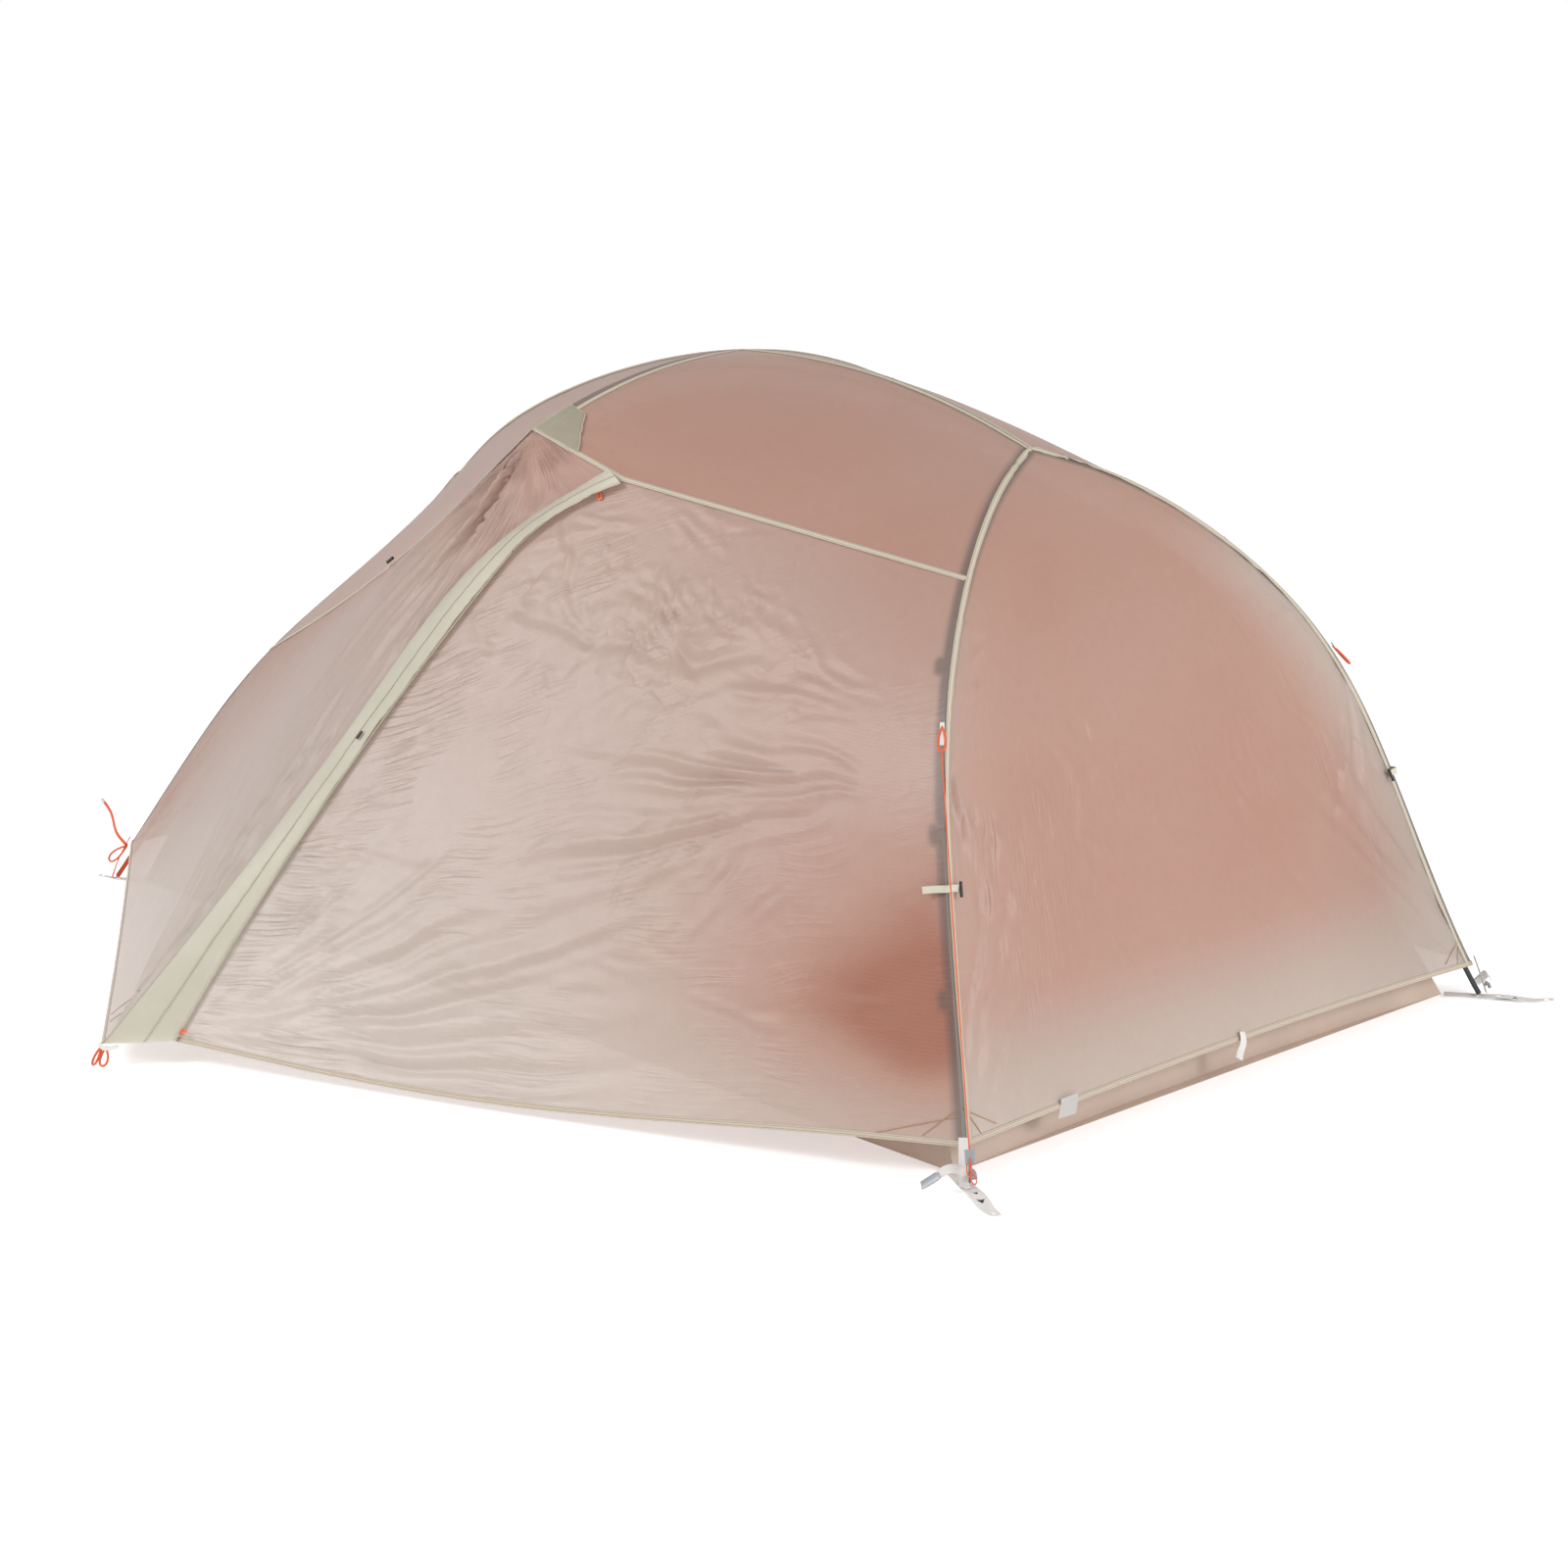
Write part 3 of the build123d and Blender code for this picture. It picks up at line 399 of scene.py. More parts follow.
def end_panel(leg, upper, hem_up, tuck, columns):
    """End panel of the rainfly, from the hub down to a hem that is cut up a little in its middle."""
    u = np.linspace(0, 1, columns)[None, :, None]
    v = np.linspace(0, 1, len(leg))[:, None, None]
    grid = leg[:, None] * (1 - u) + flip(leg)[:, None] * u
    dip = 4 * u * (1 - u) * v**3
    return grid + dip * np.array([-tuck, 0, hem_up])


head_edge = np.concatenate([fly(head_leg, n_head_up, 0, HEAD_JOIN), head_low[1:]])
foot_edge = np.concatenate([fly(foot_leg, n_foot_up, 0, FOOT_JOIN), foot_low[1:]])
panels["head_panel"] = end_panel(head_edge, n_head_up, 0.010, 0.006, int(n_sheet * 1.0))
panels["foot_panel"] = end_panel(foot_edge, n_foot_up, 0.010, -0.006, int(n_sheet * 0.8))

# ---- tension and wrinkles ------------------------------------------------------------------------------
panels["vestibule"] = relax(panels["vestibule"], 500)
panels["head_roof"] = relax(panels["head_roof"], 120)
panels["foot_roof"] = relax(panels["foot_roof"], 120)
door_sheet = relax(door_sheet, 60)


def wrinkle(grid, field):
    """Moves a sheet's points out and in by a height field, except at its edges."""
    return grid + normals(grid) * field * hold(grid) * 1.15


g = panels["vestibule"]
corner_u = (n_ridge_foot - 1) / (n_vest - 1)
field = fans(
    g,
    (0, corner_u, (0.62, 0.93), 46, 0.22, 0.75, 0.0036, 0.0055, -0.1),
    (0, corner_u, (0.95, 0.9), 20, 0.26, 0.8, 0.0034, 0.008, -0.1),
    (0, corner_u, (0.16, 0.98), 10, 0.5, 0.9, 0.0026, 0.005, -0.1),
    (0, corner_u, (0.5, 0.55), 14, 0.3, 0.6, 0.0028, 0.008),
    (0, corner_u, (0.12, 1.0), 9, 0.35, 0.8, 0.0024, 0.006),
    (1, 1, (0.05, corner_u + 0.02), 22, 0.22, 0.9, 0.0042, 0.008),
    (1, 1, (0.4, 0.6), 12, 0.25, 0.8, 0.0026, 0.010),
    (1, 0, (0, 0.6), 12, 0.4, 0.7, 0.0018, 0.008),
)
for row in np.linspace(0.1, 0.8, 22):
    field += fan(g, row, 1, (min(row + 0.12, 1), 0.9), 2, 0.3, 0.9, 0.0020, 0.006)
field += scatter(g, (0.02, 0.42), (0.05, 0.02), 12, 0.9, 0.07, 0.0020)
field += crinkle(g, 0.10, 0.0014, 3) + crinkle(g, 0.02, 0.00022, 4)
panels["vestibule"] = wrinkle(g, field)

g = door_sheet
field = fans(
    g,
    (0.42, 1, (0.62, 0.1), 26, 0.20, 0.85, 0.0034, 0.008, 0.12),
    (0.42, 1, (0.42, 0.2), 12, 0.12, 0.95, 0.0022, 0.009, 0.15),
    (0.30, 1, (0.24, 0.2), 16, 0.25, 0.75, 0.0018, 0.007, 0.12),
    (1, 0, (0.70, 0.8), 30, 0.30, 0.85, 0.0040, 0.009),
    (1, 0, (0.45, 0.35), 14, 0.3, 0.9, 0.0030, 0.008),
    (0, 0, (0.10, 0.9), 12, 0.12, 0.7, 0.0018, 0.006),
)
for row in np.linspace(0.10, 0.93, 34):
    field += fan(g, row, 0, (row + 0.03 - 0.22 * row, 0.26), 2, 0.3, 0.8, 0.0030, 0.0055)
for column in np.linspace(0.15, 0.93, 14):
    field += fan(g, 0, column, (0.10, column + 0.01), 1, 0.4, 1.0, 0.0012, 0.004)
field += scatter(g, (0.20, 0.36), (0.15, 0.055), 130, 0.35, 0.085, 0.0026, 0.0048)
field += scatter(g, (0.27, 0.42), (0.13, 0.018), 9, 0.06, 0.40, 0.0042, 0.011)
field += scatter(g, (0.42, 0.30), (0.18, 0.10), 60, -0.2, 0.09, 0.0012, 0.0050)
field += scatter(g, (0.60, 0.62), (0.09, 0.06), 34, -0.75, 0.10, 0.0022, 0.0055)
field += scatter(g, (0.80, 0.40), (0.22, 0.06), 40, -0.15, 0.16, 0.0014, 0.0065)
field += crinkle(g, 0.18, 0.0014, 5) + crinkle(g, 0.022, 0.00028, 6)
beside_zip = np.clip(1 - flat_map(g)[0][..., :1] / 0.035, 0, 1)
field = field * (1 - beside_zip) - np.abs(field) * beside_zip
door_sheet = wrinkle(g, field)

g = panels["head_panel"]
field = crinkle(g, 0.16, 0.0012, 21) + crinkle(g, 0.022, 0.00022, 22)
for column, inside in ((0.0, 1), (1.0, -1)):
    field += fan(g, 0.56, column, (0.95, column + 0.20 * inside), 12, 0.16, 0.8, 0.0026, 0.007)
    field += fan(g, 1, column, (0.56, column + 0.26 * inside), 14, 0.22, 0.85, 0.0032, 0.009)
    field += fan(g, 0.5, column, (0.46, column + 0.16 * inside), 7, 0.5, 0.7, 0.0012, 0.006)
    field += scatter(g, (0.68, column + 0.30 * inside), (0.08, 0.07), 60, 1.45, 0.09, 0.0013, 0.0045)
    field += scatter(g, (0.30, column + 0.04 * inside), (0.02, 0.16), 24, 0.5, 0.05, 0.0010, 0.0045)
panels["head_panel"] = wrinkle(g, field)
g = panels["foot_panel"]
field = crinkle(g, 0.16, 0.0012, 31) + crinkle(g, 0.022, 0.00022, 32)
for column, inside in ((0.0, 1), (1.0, -1)):
    field += fan(g, 1, column, (0.5, column + 0.3 * inside), 12, 0.3, 0.8, 0.0030, 0.009)
    field += scatter(g, (0.6, column + 0.3 * inside), (0.08, 0.09), 36, 1.4, 0.10, 0.0014, 0.005)
panels["foot_panel"] = wrinkle(g, field)
for name in ("head_roof", "foot_roof"):
    g = panels[name]
    end = 0 if name == "head_roof" else 1
    field = crinkle(g, 0.2, 0.0010, 41) + crinkle(g, 0.03, 0.00015, 42)
    field += fan(g, 1, end, (0.6, abs(end - 0.25)), 10, 0.5, 0.6, 0.0022, 0.006)
    field += scatter(g, (0.94, abs(end - 0.16)), (0.10, 0.03), 18, 0.9, 0.05, 0.0016, 0.0045)
    field += scatter(g, (0.06, 0.4), (0.2, 0.02), 14, 0.2, 0.12, 0.0010, 0.007)
    panels[name] = wrinkle(g, field)

# ---- meshes --------------------------------------------------------------------------------------------
def link(name, mesh):
    """Object of a mesh, in the scene."""
    obj = bpy.data.objects.new(name, mesh)
    bpy.context.scene.collection.objects.link(obj)
    return obj


def set_uv(mesh, uv, smooth=True):
    """Stores one UV place per vertex, and says whether the faces are smooth."""
    corners = np.array([corner.vertex_index for corner in mesh.loops])
    mesh.uv_layers.new(name="cloth").data.foreach_set("uv", uv[corners].reshape(-1).astype(np.float32))
    mesh.polygons.foreach_set("use_smooth", [smooth] * len(mesh.polygons))


def steps(grid, axis):
    """Distance run along one way of a grid, at every point."""
    first = np.zeros((grid.shape[0], 1) if axis else (1, grid.shape[1]))
    return np.concatenate([first, np.cumsum(np.linalg.norm(np.diff(grid, axis=axis), axis=2), axis)], axis)


def quads(rows, columns, offset=0, turn=False):
    i = np.arange(rows - 1)[:, None] * columns + np.arange(columns - 1)[None] + offset
    f = np.stack([i, i + columns, i + columns + 1, i + 1], -1).reshape(-1, 4)
    return f[:, ::-1] if turn else f


def grid_mesh(name, grids, turns, values=None, weld=False):
    """One mesh object from grids of points. Its UV map is in metres along the first grid's directions."""
    points, faces, uv, extra, start = [], [], [], {}, 0
    for index, (grid, turn) in enumerate(zip(grids, turns)):
        rows, columns = grid.shape[:2]
        faces.append(quads(rows, columns, start, turn))
        points.append(grid.reshape(-1, 3))
        uv.append(np.stack([steps(grid, 1), steps(grid, 0)], -1).reshape(-1, 2))
        for key, value in (values[index] if values else {}).items():
            extra.setdefault(key, []).append(np.broadcast_to(value, grid.shape[:2]).reshape(-1))
        start += rows * columns
    points, faces, uv = np.concatenate(points), np.concatenate(faces), np.concatenate(uv)
    mesh = bpy.data.meshes.new(name)
    mesh.from_pydata(points.tolist(), [], faces.tolist())
    set_uv(mesh, uv)
    for key, value in extra.items():
        attribute = mesh.attributes.new(key, "FLOAT", "POINT")
        attribute.data.foreach_set("value", np.concatenate(value).astype(np.float32))
    mesh.validate()
    obj = link(name, mesh)
    if weld:
        modifier = obj.modifiers.new("weld", "WELD")
        modifier.merge_threshold = 0.0012
        apply_modifiers(obj)
    return obj


def apply_modifiers(obj):
    bpy.context.view_layer.update()
    evaluated = obj.evaluated_get(bpy.context.evaluated_depsgraph_get())
    mesh = bpy.data.meshes.new_from_object(evaluated)
    obj.modifiers.clear()
    obj.data = mesh


def sweep(name, line, side, out, section, closed=True):
    """Strip with a cross-section swept along a line. section is (across, out) points."""
    line = np.asarray(line, float)
    tangent = unit(np.gradient(line, axis=0))
    out = unit(out - tangent * np.sum(out * tangent, -1, keepdims=True))
    side = unit(np.cross(tangent, out)) if side is None else unit(side)
    section = np.asarray(section, float)
    points = line[:, None] + side[:, None] * section[None, :, :1] + out[:, None] * section[None, :, 1:]
    n, k = points.shape[:2]
    faces = []
    for i in range(n - 1):
        for j in range(k if closed else k - 1):
            faces.append((i * k + j, i * k + (j + 1) % k, (i + 1) * k + (j + 1) % k, (i + 1) * k + j))
    if closed:
        faces.append(tuple(range(k))[::-1])
        faces.append(tuple((n - 1) * k + j for j in range(k)))
    mesh = bpy.data.meshes.new(name)
    mesh.from_pydata(points.reshape(-1, 3).tolist(), [], faces)
    length = np.concatenate([[0], np.cumsum(np.linalg.norm(np.diff(line, axis=0), axis=1))])
    wide = max(np.ptp(section[:, 0]), 1e-6)
    uv = np.stack(
        [np.repeat(length, k), np.tile((section[:, 0] - section[:, 0].min()) / wide, n)], -1
    )
    set_uv(mesh, uv)
    mesh.validate()
    return link(name, mesh)


def tape(name, line, out, width, lift=0.0006, thick=0.0007, shift=0.0):
    """Flat sewn strip with rounded edges that lies on cloth."""
    w, top = width / 2, lift + thick
    section = [
        (-w, lift), (-w * 0.8, top), (0, lift + thick * 1.2), (w * 0.8, top), (w, lift), (0, lift - 0.0002)
    ]
    return sweep(name, line, None, out, [(a + shift, b) for a, b in section])


def cord(name, line, radius, sides=10):
    """Round cord along a line."""
    line = np.asarray(line, float)
    up = np.tile([0.31, 0.22, 0.92], (len(line), 1))
    turns = np.linspace(0, 2 * math.pi, sides, endpoint=False)
    return sweep(name, line, None, up, [(radius * math.cos(a), radius * math.sin(a)) for a in turns])


def mirrored_copy(obj, name):
    mesh = obj.data.copy()
    mesh.transform(((1, 0, 0, 0), (0, -1, 0, 0), (0, 0, 1, 0), (0, 0, 0, 1)))
    mesh.flip_normals()
    return link(name, mesh)


# ---- materials -----------------------------------------------------------------------------------------
class Finish:
    """A node material under construction."""

    def __init__(self, name):
        self.material = bpy.data.materials.new(name)
        self.material.use_nodes = True
        self.tree = self.material.node_tree
        self.tree.nodes.clear()
        self.output = self.node("ShaderNodeOutputMaterial")

    def node(self, kind, settings=None, **inputs):
        made = self.tree.nodes.new(kind)
        for key, value in (settings or {}).items():
            setattr(made, key, value)
        for key, value in inputs.items():
            numbered = key[0] == "i" and key[1:].isdigit()
            self.feed(made.inputs[int(key[1:]) if numbered else key.replace("_", " ")], value)
        return made

    def feed(self, socket, value):
        """Links a socket to another, or sets its value."""
        if isinstance(value, bpy.types.NodeSocket):
            self.tree.links.new(value, socket)
        else:
            socket.default_value = value

    def value(self, operation, a, b=0.0, c=0.0):
        return self.node("ShaderNodeMath", {"operation": operation}, i0=a, i1=b, i2=c).outputs[0]

    def times(self, a, b):
        return self.value("MULTIPLY", a, b)

    def plus(self, a, b):
        return self.value("ADD", a, b)

    def less(self, a, b):
        return self.value("SUBTRACT", a, b)

    def ramp(self, value, low, high):
        n = self.node("ShaderNodeMapRange", {"interpolation_type": "SMOOTHSTEP"}, Value=value)
        n.inputs[1].default_value, n.inputs[2].default_value = low, high
        return n.outputs[0]

    def mix(self, factor, a, b, blend="MIX"):
        n = self.node("ShaderNodeMix", {"data_type": "RGBA", "blend_type": blend})
        for index, value in ((0, factor), (6, a), (7, b)):
            self.feed(n.inputs[index], value)
        return n.outputs[2]

    def noise(self, scale, detail=2.0, vector=None, rough=0.5):
        n = self.node("ShaderNodeTexNoise", None, Scale=scale, Detail=detail, Roughness=rough)
        if vector is not None:
            self.tree.links.new(vector, n.inputs["Vector"])
        return n.outputs["Fac"]

    def ridges(self, value, sharpness):
        """Turns smooth noise into thin crests."""
        folded = self.value("ABSOLUTE", self.value("MULTIPLY_ADD", value, 2.0, -1.0))
        return self.value("POWER", self.less(1.0, folded), sharpness)

    def where(self, kind="Object"):
        return self.node("ShaderNodeTexCoord").outputs[kind]

    def attribute(self, name):
        return self.node("ShaderNodeAttribute", {"attribute_name": name}).outputs["Fac"]

    def bump(self, height, strength, distance):
        made = self.node("ShaderNodeBump", None, Strength=strength, Distance=distance, Height=height)
        return made.outputs[0]

    def uv(self):
        return self.node("ShaderNodeSeparateXYZ", None, Vector=self.where("UV"))

    def from_half(self, value):
        """How far a repeating value is from the middle of its turn."""
        return self.value("ABSOLUTE", self.less(self.value("FRACT", value), 0.5))

    def finish(self, shader):
        self.tree.links.new(shader, self.output.inputs["Surface"])
        return self.material


def rgb(r, g, b):
    """Linear colour from 0 to 255 values."""
    shares = (c / 255 for c in (r, g, b))
    return tuple(c / 12.92 if c <= 10 / 255 else ((c + 0.055) / 1.055) ** 2.4 for c in shares) + (1.0,)


def cloth_shader(f, colour, normal, rough, through, clear, sheen=0.15):
    """Thin coated nylon: part reflected, part glowing through, part seen straight through."""
    face = f.node(
        "ShaderNodeBsdfPrincipled", None, Base_Color=colour, Roughness=rough, Normal=normal,
        Sheen_Weight=sheen, Sheen_Roughness=0.4, Specular_IOR_Level=0.5,
    )
    back = f.node("ShaderNodeBsdfTranslucent", None, Color=colour, Normal=normal)
    mixed = f.node("ShaderNodeMixShader", None, i0=through, i1=face.outputs[0], i2=back.outputs[0])
    glass = f.node("ShaderNodeBsdfTransparent", None, Color=f.mix(0.5, colour, (1, 1, 1, 1)))
    return f.node("ShaderNodeMixShader", None, i0=clear, i1=mixed.outputs[0], i2=glass.outputs[0]).outputs[0]


def ripstop(f, pitch):
    """Faint square grid of thicker threads, from the UV map in metres."""
    uv = f.uv()
    lines = None
    for axis in (0, 1):
        line = f.ramp(f.from_half(f.times(uv.outputs[axis], 1 / pitch)), 0.43, 0.49)
        lines = line if lines is None else f.value("MAXIMUM", lines, line)
    return lines


def fly_cloth(name, plain, painted_glow_colour, clear=0.09, through=0.34):
    """Rainfly: painted glow of the inner tent where it is near, painted shadow over the poles, painted shade
    on some sides, with the finest creases as bump.
    """
    f = Finish(name)
    place = f.where()
    patchy = f.noise(2.2, 3.0, place, 0.6)
    # painted light: the glow of the inner tent seen through the cloth, a little patchy, is painted into the
    # colour
    glow = f.times(f.attribute("glow"), f.plus(0.78, f.times(patchy, 0.44)))
    colour = f.mix(f.value("MINIMUM", glow, 1.0), plain, painted_glow_colour)
    # deeper painted glow where it is strongest
    colour = f.mix(f.ramp(glow, 0.95, 1.5), colour, rgb(176, 116, 94))
    mottled = f.noise(60.0, 3.0, place)
    colour = f.mix(f.times(mottled, 0.10), colour, rgb(120, 100, 90))
    # painted shade: the colour darkens where the attribute read here is high
    colour = f.mix(f.times(f.attribute("painted_shade"), 0.30), colour, rgb(140, 124, 114))
    threads = ripstop(f, 0.006)
    colour = f.mix(f.times(threads, 0.05), colour, rgb(245, 238, 228))
    # painted shadow of the poles, and of each clip, under the cloth
    colour = f.mix(f.times(f.attribute("pole"), 0.62), colour, rgb(84, 88, 86))
    grain = f.times(f.noise(260.0, 2.0, place), 0.4)
    height = f.plus(f.times(threads, 0.6), f.plus(grain, f.noise(34.0, 3.0, place)))
    normal = f.bump(height, 0.22, 0.0012)
    lie = f.node(
        "ShaderNodeCombineXYZ", None,
        i0=f.times(f.attribute("across"), 62.0), i1=f.times(f.attribute("along"), 5.0),
    ).outputs[0]
    here = f.ramp(f.noise(7.0, 2.0, place, 0.6), 0.42, 0.62)
    pleats = f.times(f.ridges(f.noise(1.0, 2.0, lie, 0.5), 5.0), f.attribute("pull"))
    crumple = f.times(f.ridges(f.noise(15.0, 2.0, place, 0.5), 7.0), f.attribute("crumple"))
    normal = f.node(
        "ShaderNodeBump", None, Strength=1.0, Distance=0.0026, Normal=normal,
        Height=f.times(f.plus(pleats, crumple), here),
    ).outputs[0]
    return f.finish(cloth_shader(f, colour, normal, 0.38, through, clear))


def plain_cloth(name, colour, other, through=0.3, clear=0.0, rough=0.6, grid=0.004, bump=0.25):
    """Coated cloth of two near shades, with a faint grid of threads."""
    f = Finish(name)
    place = f.where()
    shade = f.mix(f.ramp(f.noise(5.0, 3.0, place), 0.3, 0.7), colour, other)
    threads = ripstop(f, grid)
    shade = f.mix(f.times(threads, 0.08), shade, (0.9, 0.85, 0.8, 1))
    height = f.plus(threads, f.noise(45.0, 3.0, place))
    return f.finish(cloth_shader(f, shade, f.bump(height, bump, 0.001), rough, through, clear))


def sewn(name, colour, thread, lines=(0.22, 0.78)):
    """Binding or felled seam: a cloth strip with rows of stitches along it."""
    f = Finish(name)
    uv = f.uv()
    dash = f.ramp(f.from_half(f.times(uv.outputs[0], 330.0)), 0.46, 0.34)
    rows = None
    for at in lines:
        row = f.ramp(f.value("ABSOLUTE", f.less(uv.outputs[1], at)), 0.09, 0.035)
        rows = row if rows is None else f.value("MAXIMUM", rows, row)
    stitch = f.times(rows, f.plus(0.55, f.times(dash, 0.45)))
    mottled = f.noise(90.0, 2.0, f.where())
    shade = f.mix(f.times(mottled, 0.25), colour, rgb(168, 160, 142))
    shade = f.mix(f.times(stitch, 0.8), shade, thread)
    height = f.less(f.times(mottled, 0.5), stitch)
    return f.finish(cloth_shader(f, shade, f.bump(height, 0.5, 0.0008), 0.6, 0.2, 0.0))


def woven(name, colour, other, pitch=0.0016, rough=0.75):
    """Webbing or braid: short diagonal yarns."""
    f = Finish(name)
    uv = f.uv()
    place = f.where()
    diagonal = f.plus(f.times(uv.outputs[0], 1 / pitch), f.times(uv.outputs[1], 5.0))
    yarn = f.from_half(diagonal)
    fuzz = f.noise(420.0, 3.0, place)
    shade = f.mix(f.plus(f.times(yarn, 0.8), f.times(fuzz, 0.3)), other, colour)
    height = f.plus(yarn, f.times(fuzz, 0.5))
    face = f.node(
        "ShaderNodeBsdfPrincipled", None, Base_Color=shade, Roughness=rough, Sheen_Weight=0.25,
        Normal=f.bump(height, 0.6, 0.0006),
    )
    return f.finish(face.outputs[0])


def hard(name, colour, metallic, rough, grain=180.0, wear=None, strength=0.15):
    """Moulded plastic or anodised metal with fine grain and worn patches."""
    f = Finish(name)
    place = f.where()
    grained = f.noise(grain, 4.0, place)
    worn = f.ramp(f.noise(38.0, 4.0, place, 0.65), 0.58, 0.72)
    shade = f.mix(f.times(worn, 0.35), colour, wear or rgb(150, 148, 144))
    smooth = f.plus(rough, f.times(grained, 0.14))
    face = f.node(
        "ShaderNodeBsdfPrincipled", None, Base_Color=shade, Roughness=smooth, Metallic=metallic,
        Normal=f.bump(grained, strength, 0.0004),
    )
    return f.finish(face.outputs[0])


# the first colour is the rainfly's own; the second is the painted glow of the inner tent through it
PLAIN, PAINTED_GLOW = rgb(202, 192, 183), rgb(197, 158, 141)
finishes = {
    "fly_shell": fly_cloth("fly_shell", PLAIN, PAINTED_GLOW),
    "fly_flap": plain_cloth("fly_flap", rgb(208, 203, 188), rgb(198, 194, 178), 0.3, 0.06, 0.5, 0.006),
    "patch_cloth": plain_cloth("patch_cloth", rgb(186, 180, 160), rgb(170, 164, 146), 0.3, 0.22, 0.4, 0.006),
    "inner_cloth": plain_cloth("inner_cloth", rgb(216, 124, 92), rgb(204, 108, 78), 0.35, 0.05, 0.7, 0.003),
    "floor_cloth": plain_cloth("floor_cloth", rgb(204, 184, 168), rgb(192, 172, 157), 0.2, 0.0, 0.5, 0.005),
    "seam": sewn("seam", rgb(206, 200, 182), rgb(176, 140, 110)),
    "binding": sewn("binding", rgb(204, 194, 178), rgb(176, 142, 110), (0.3, 0.72)),
    "flap_seam": sewn("flap_seam", rgb(196, 190, 170), rgb(178, 168, 146), (0.5,)),
    "stitch": sewn("stitch", rgb(190, 146, 112), rgb(170, 118, 84), (0.5,)),
    "pale_webbing": woven("pale_webbing", rgb(226, 222, 218), rgb(196, 192, 188)),
    "label": plain_cloth("label", rgb(206, 204, 200), rgb(188, 186, 184), 0.25, 0.0, 0.5, 0.0015),
    "seam_webbing": woven("seam_webbing", rgb(204, 200, 182), rgb(184, 180, 162)),
    "reflective": hard("reflective", rgb(160, 166, 172), 0.4, 0.35, 300.0),
    "orange_cord": woven("orange_cord", rgb(232, 104, 48), rgb(196, 72, 30), 0.0024),
    "elastic": woven("elastic", rgb(226, 224, 220), rgb(200, 198, 194), 0.002),
    "dark_pole": hard("dark_pole", rgb(62, 66, 68), 0.75, 0.32, 420.0, rgb(110, 112, 112), 0.05),
    "copper_pole": hard("copper_pole", rgb(178, 74, 38), 0.75, 0.3, 420.0, rgb(200, 120, 80), 0.05),
    "bare_alloy": hard("bare_alloy", rgb(188, 190, 194), 0.9, 0.3, 500.0, rgb(140, 140, 140), 0.05),
    "dark_plastic": hard("dark_plastic", rgb(34, 33, 34), 0.0, 0.45, 260.0, rgb(70, 68, 66)),
    "grey_plastic": hard("grey_plastic", rgb(138, 140, 144), 0.0, 0.45, 260.0, rgb(170, 170, 170)),
    "zip_plastic": hard("zip_plastic", rgb(200, 196, 178), 0.0, 0.5, 700.0, rgb(170, 166, 150), 0.6),
    "zip_metal": hard("zip_metal", rgb(228, 104, 46), 0.1, 0.4, 300.0, rgb(200, 120, 80)),
}


def dress(obj, finish, body, *replaced, slot=None):
    """Gives a piece its material and body, and hides the CAD nodes it stands for. slot is not used."""
    obj.data.materials.clear()
    obj.data.materials.append(finishes[finish])
    if body:
        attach(obj, body)
    if replaced:
        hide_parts(*replaced)
    return obj


for part in frame["record"]["subparts"]:
    finish = part["material_slot"]
    nodes[part["node"]].data.materials.clear()
    nodes[part["node"]].data.materials.append(finishes[finish])

# ---- inner tent pieces ---------------------------------------------------------------------------------
roofs = [inner["head_roof"], inner["foot_roof"]]
roof = grid_mesh("inner_canopy", roofs + [flip(r) for r in roofs], [False, False, True, True], weld=True)
dress(roof, "inner_cloth", "frame", "inner_roof")
dress(grid_mesh("inner_head_cloth", [inner["head_wall"]], [True]), "inner_cloth", "frame", "inner_head_wall")
dress(grid_mesh("inner_foot_cloth", [inner["foot_wall"]], [False]), "inner_cloth", "frame", "inner_foot_wall")
sides = ("side_foot", "side_head", "side_top", "side_sill")
for side, turn in (("front", False), ("rear", True)):
    grids = [flip(inner[n]) if turn else inner[n] for n in sides]
    dress(grid_mesh(f"inner_{side}_cloth", grids, [turn] * 4), "inner_cloth", "frame", f"inner_{side}_wall")
    leaf = flip(inner_door) if turn else inner_door
    cloth = grid_mesh(f"inner_{side}_door_cloth", [leaf], [turn])
    dress(cloth, "inner_cloth", f"inner_{side}_door", f"inner_{side}_door")
    edge = np.concatenate([leaf[0], leaf[1:, -1], leaf[-1, ::-1][1:]])
    piping = cord(f"inner_{side}_door_zip", edge, 0.0022, 6)
    dress(piping, "zip_plastic", f"inner_{side}_door")

corners = np.array([FLOOR_HEAD, FLOOR_HEAD * [1, -1], FLOOR_FOOT * [1, -1], FLOOR_FOOT])
u = np.linspace(0, 1, 90)[None, :, None]
v = np.linspace(0, 1, 50)[:, None, None]
flat = (corners[3] * (1 - u) + corners[0] * u) * (1 - v) + (corners[2] * (1 - u) + corners[1] * u) * v
floor_grid = np.concatenate([flat, np.full(flat.shape[:2] + (1,), 0.0012)], -1)
UP = np.array([0, 0, 1])
floor_grid += crinkle(floor_grid, 0.12, 0.0016, 51) * hold(floor_grid, 2) * UP + np.array([0, 0, 0.0006])
dress(grid_mesh("floor_cloth", [floor_grid], [True]), "floor_cloth", "frame", "floor_sheet")


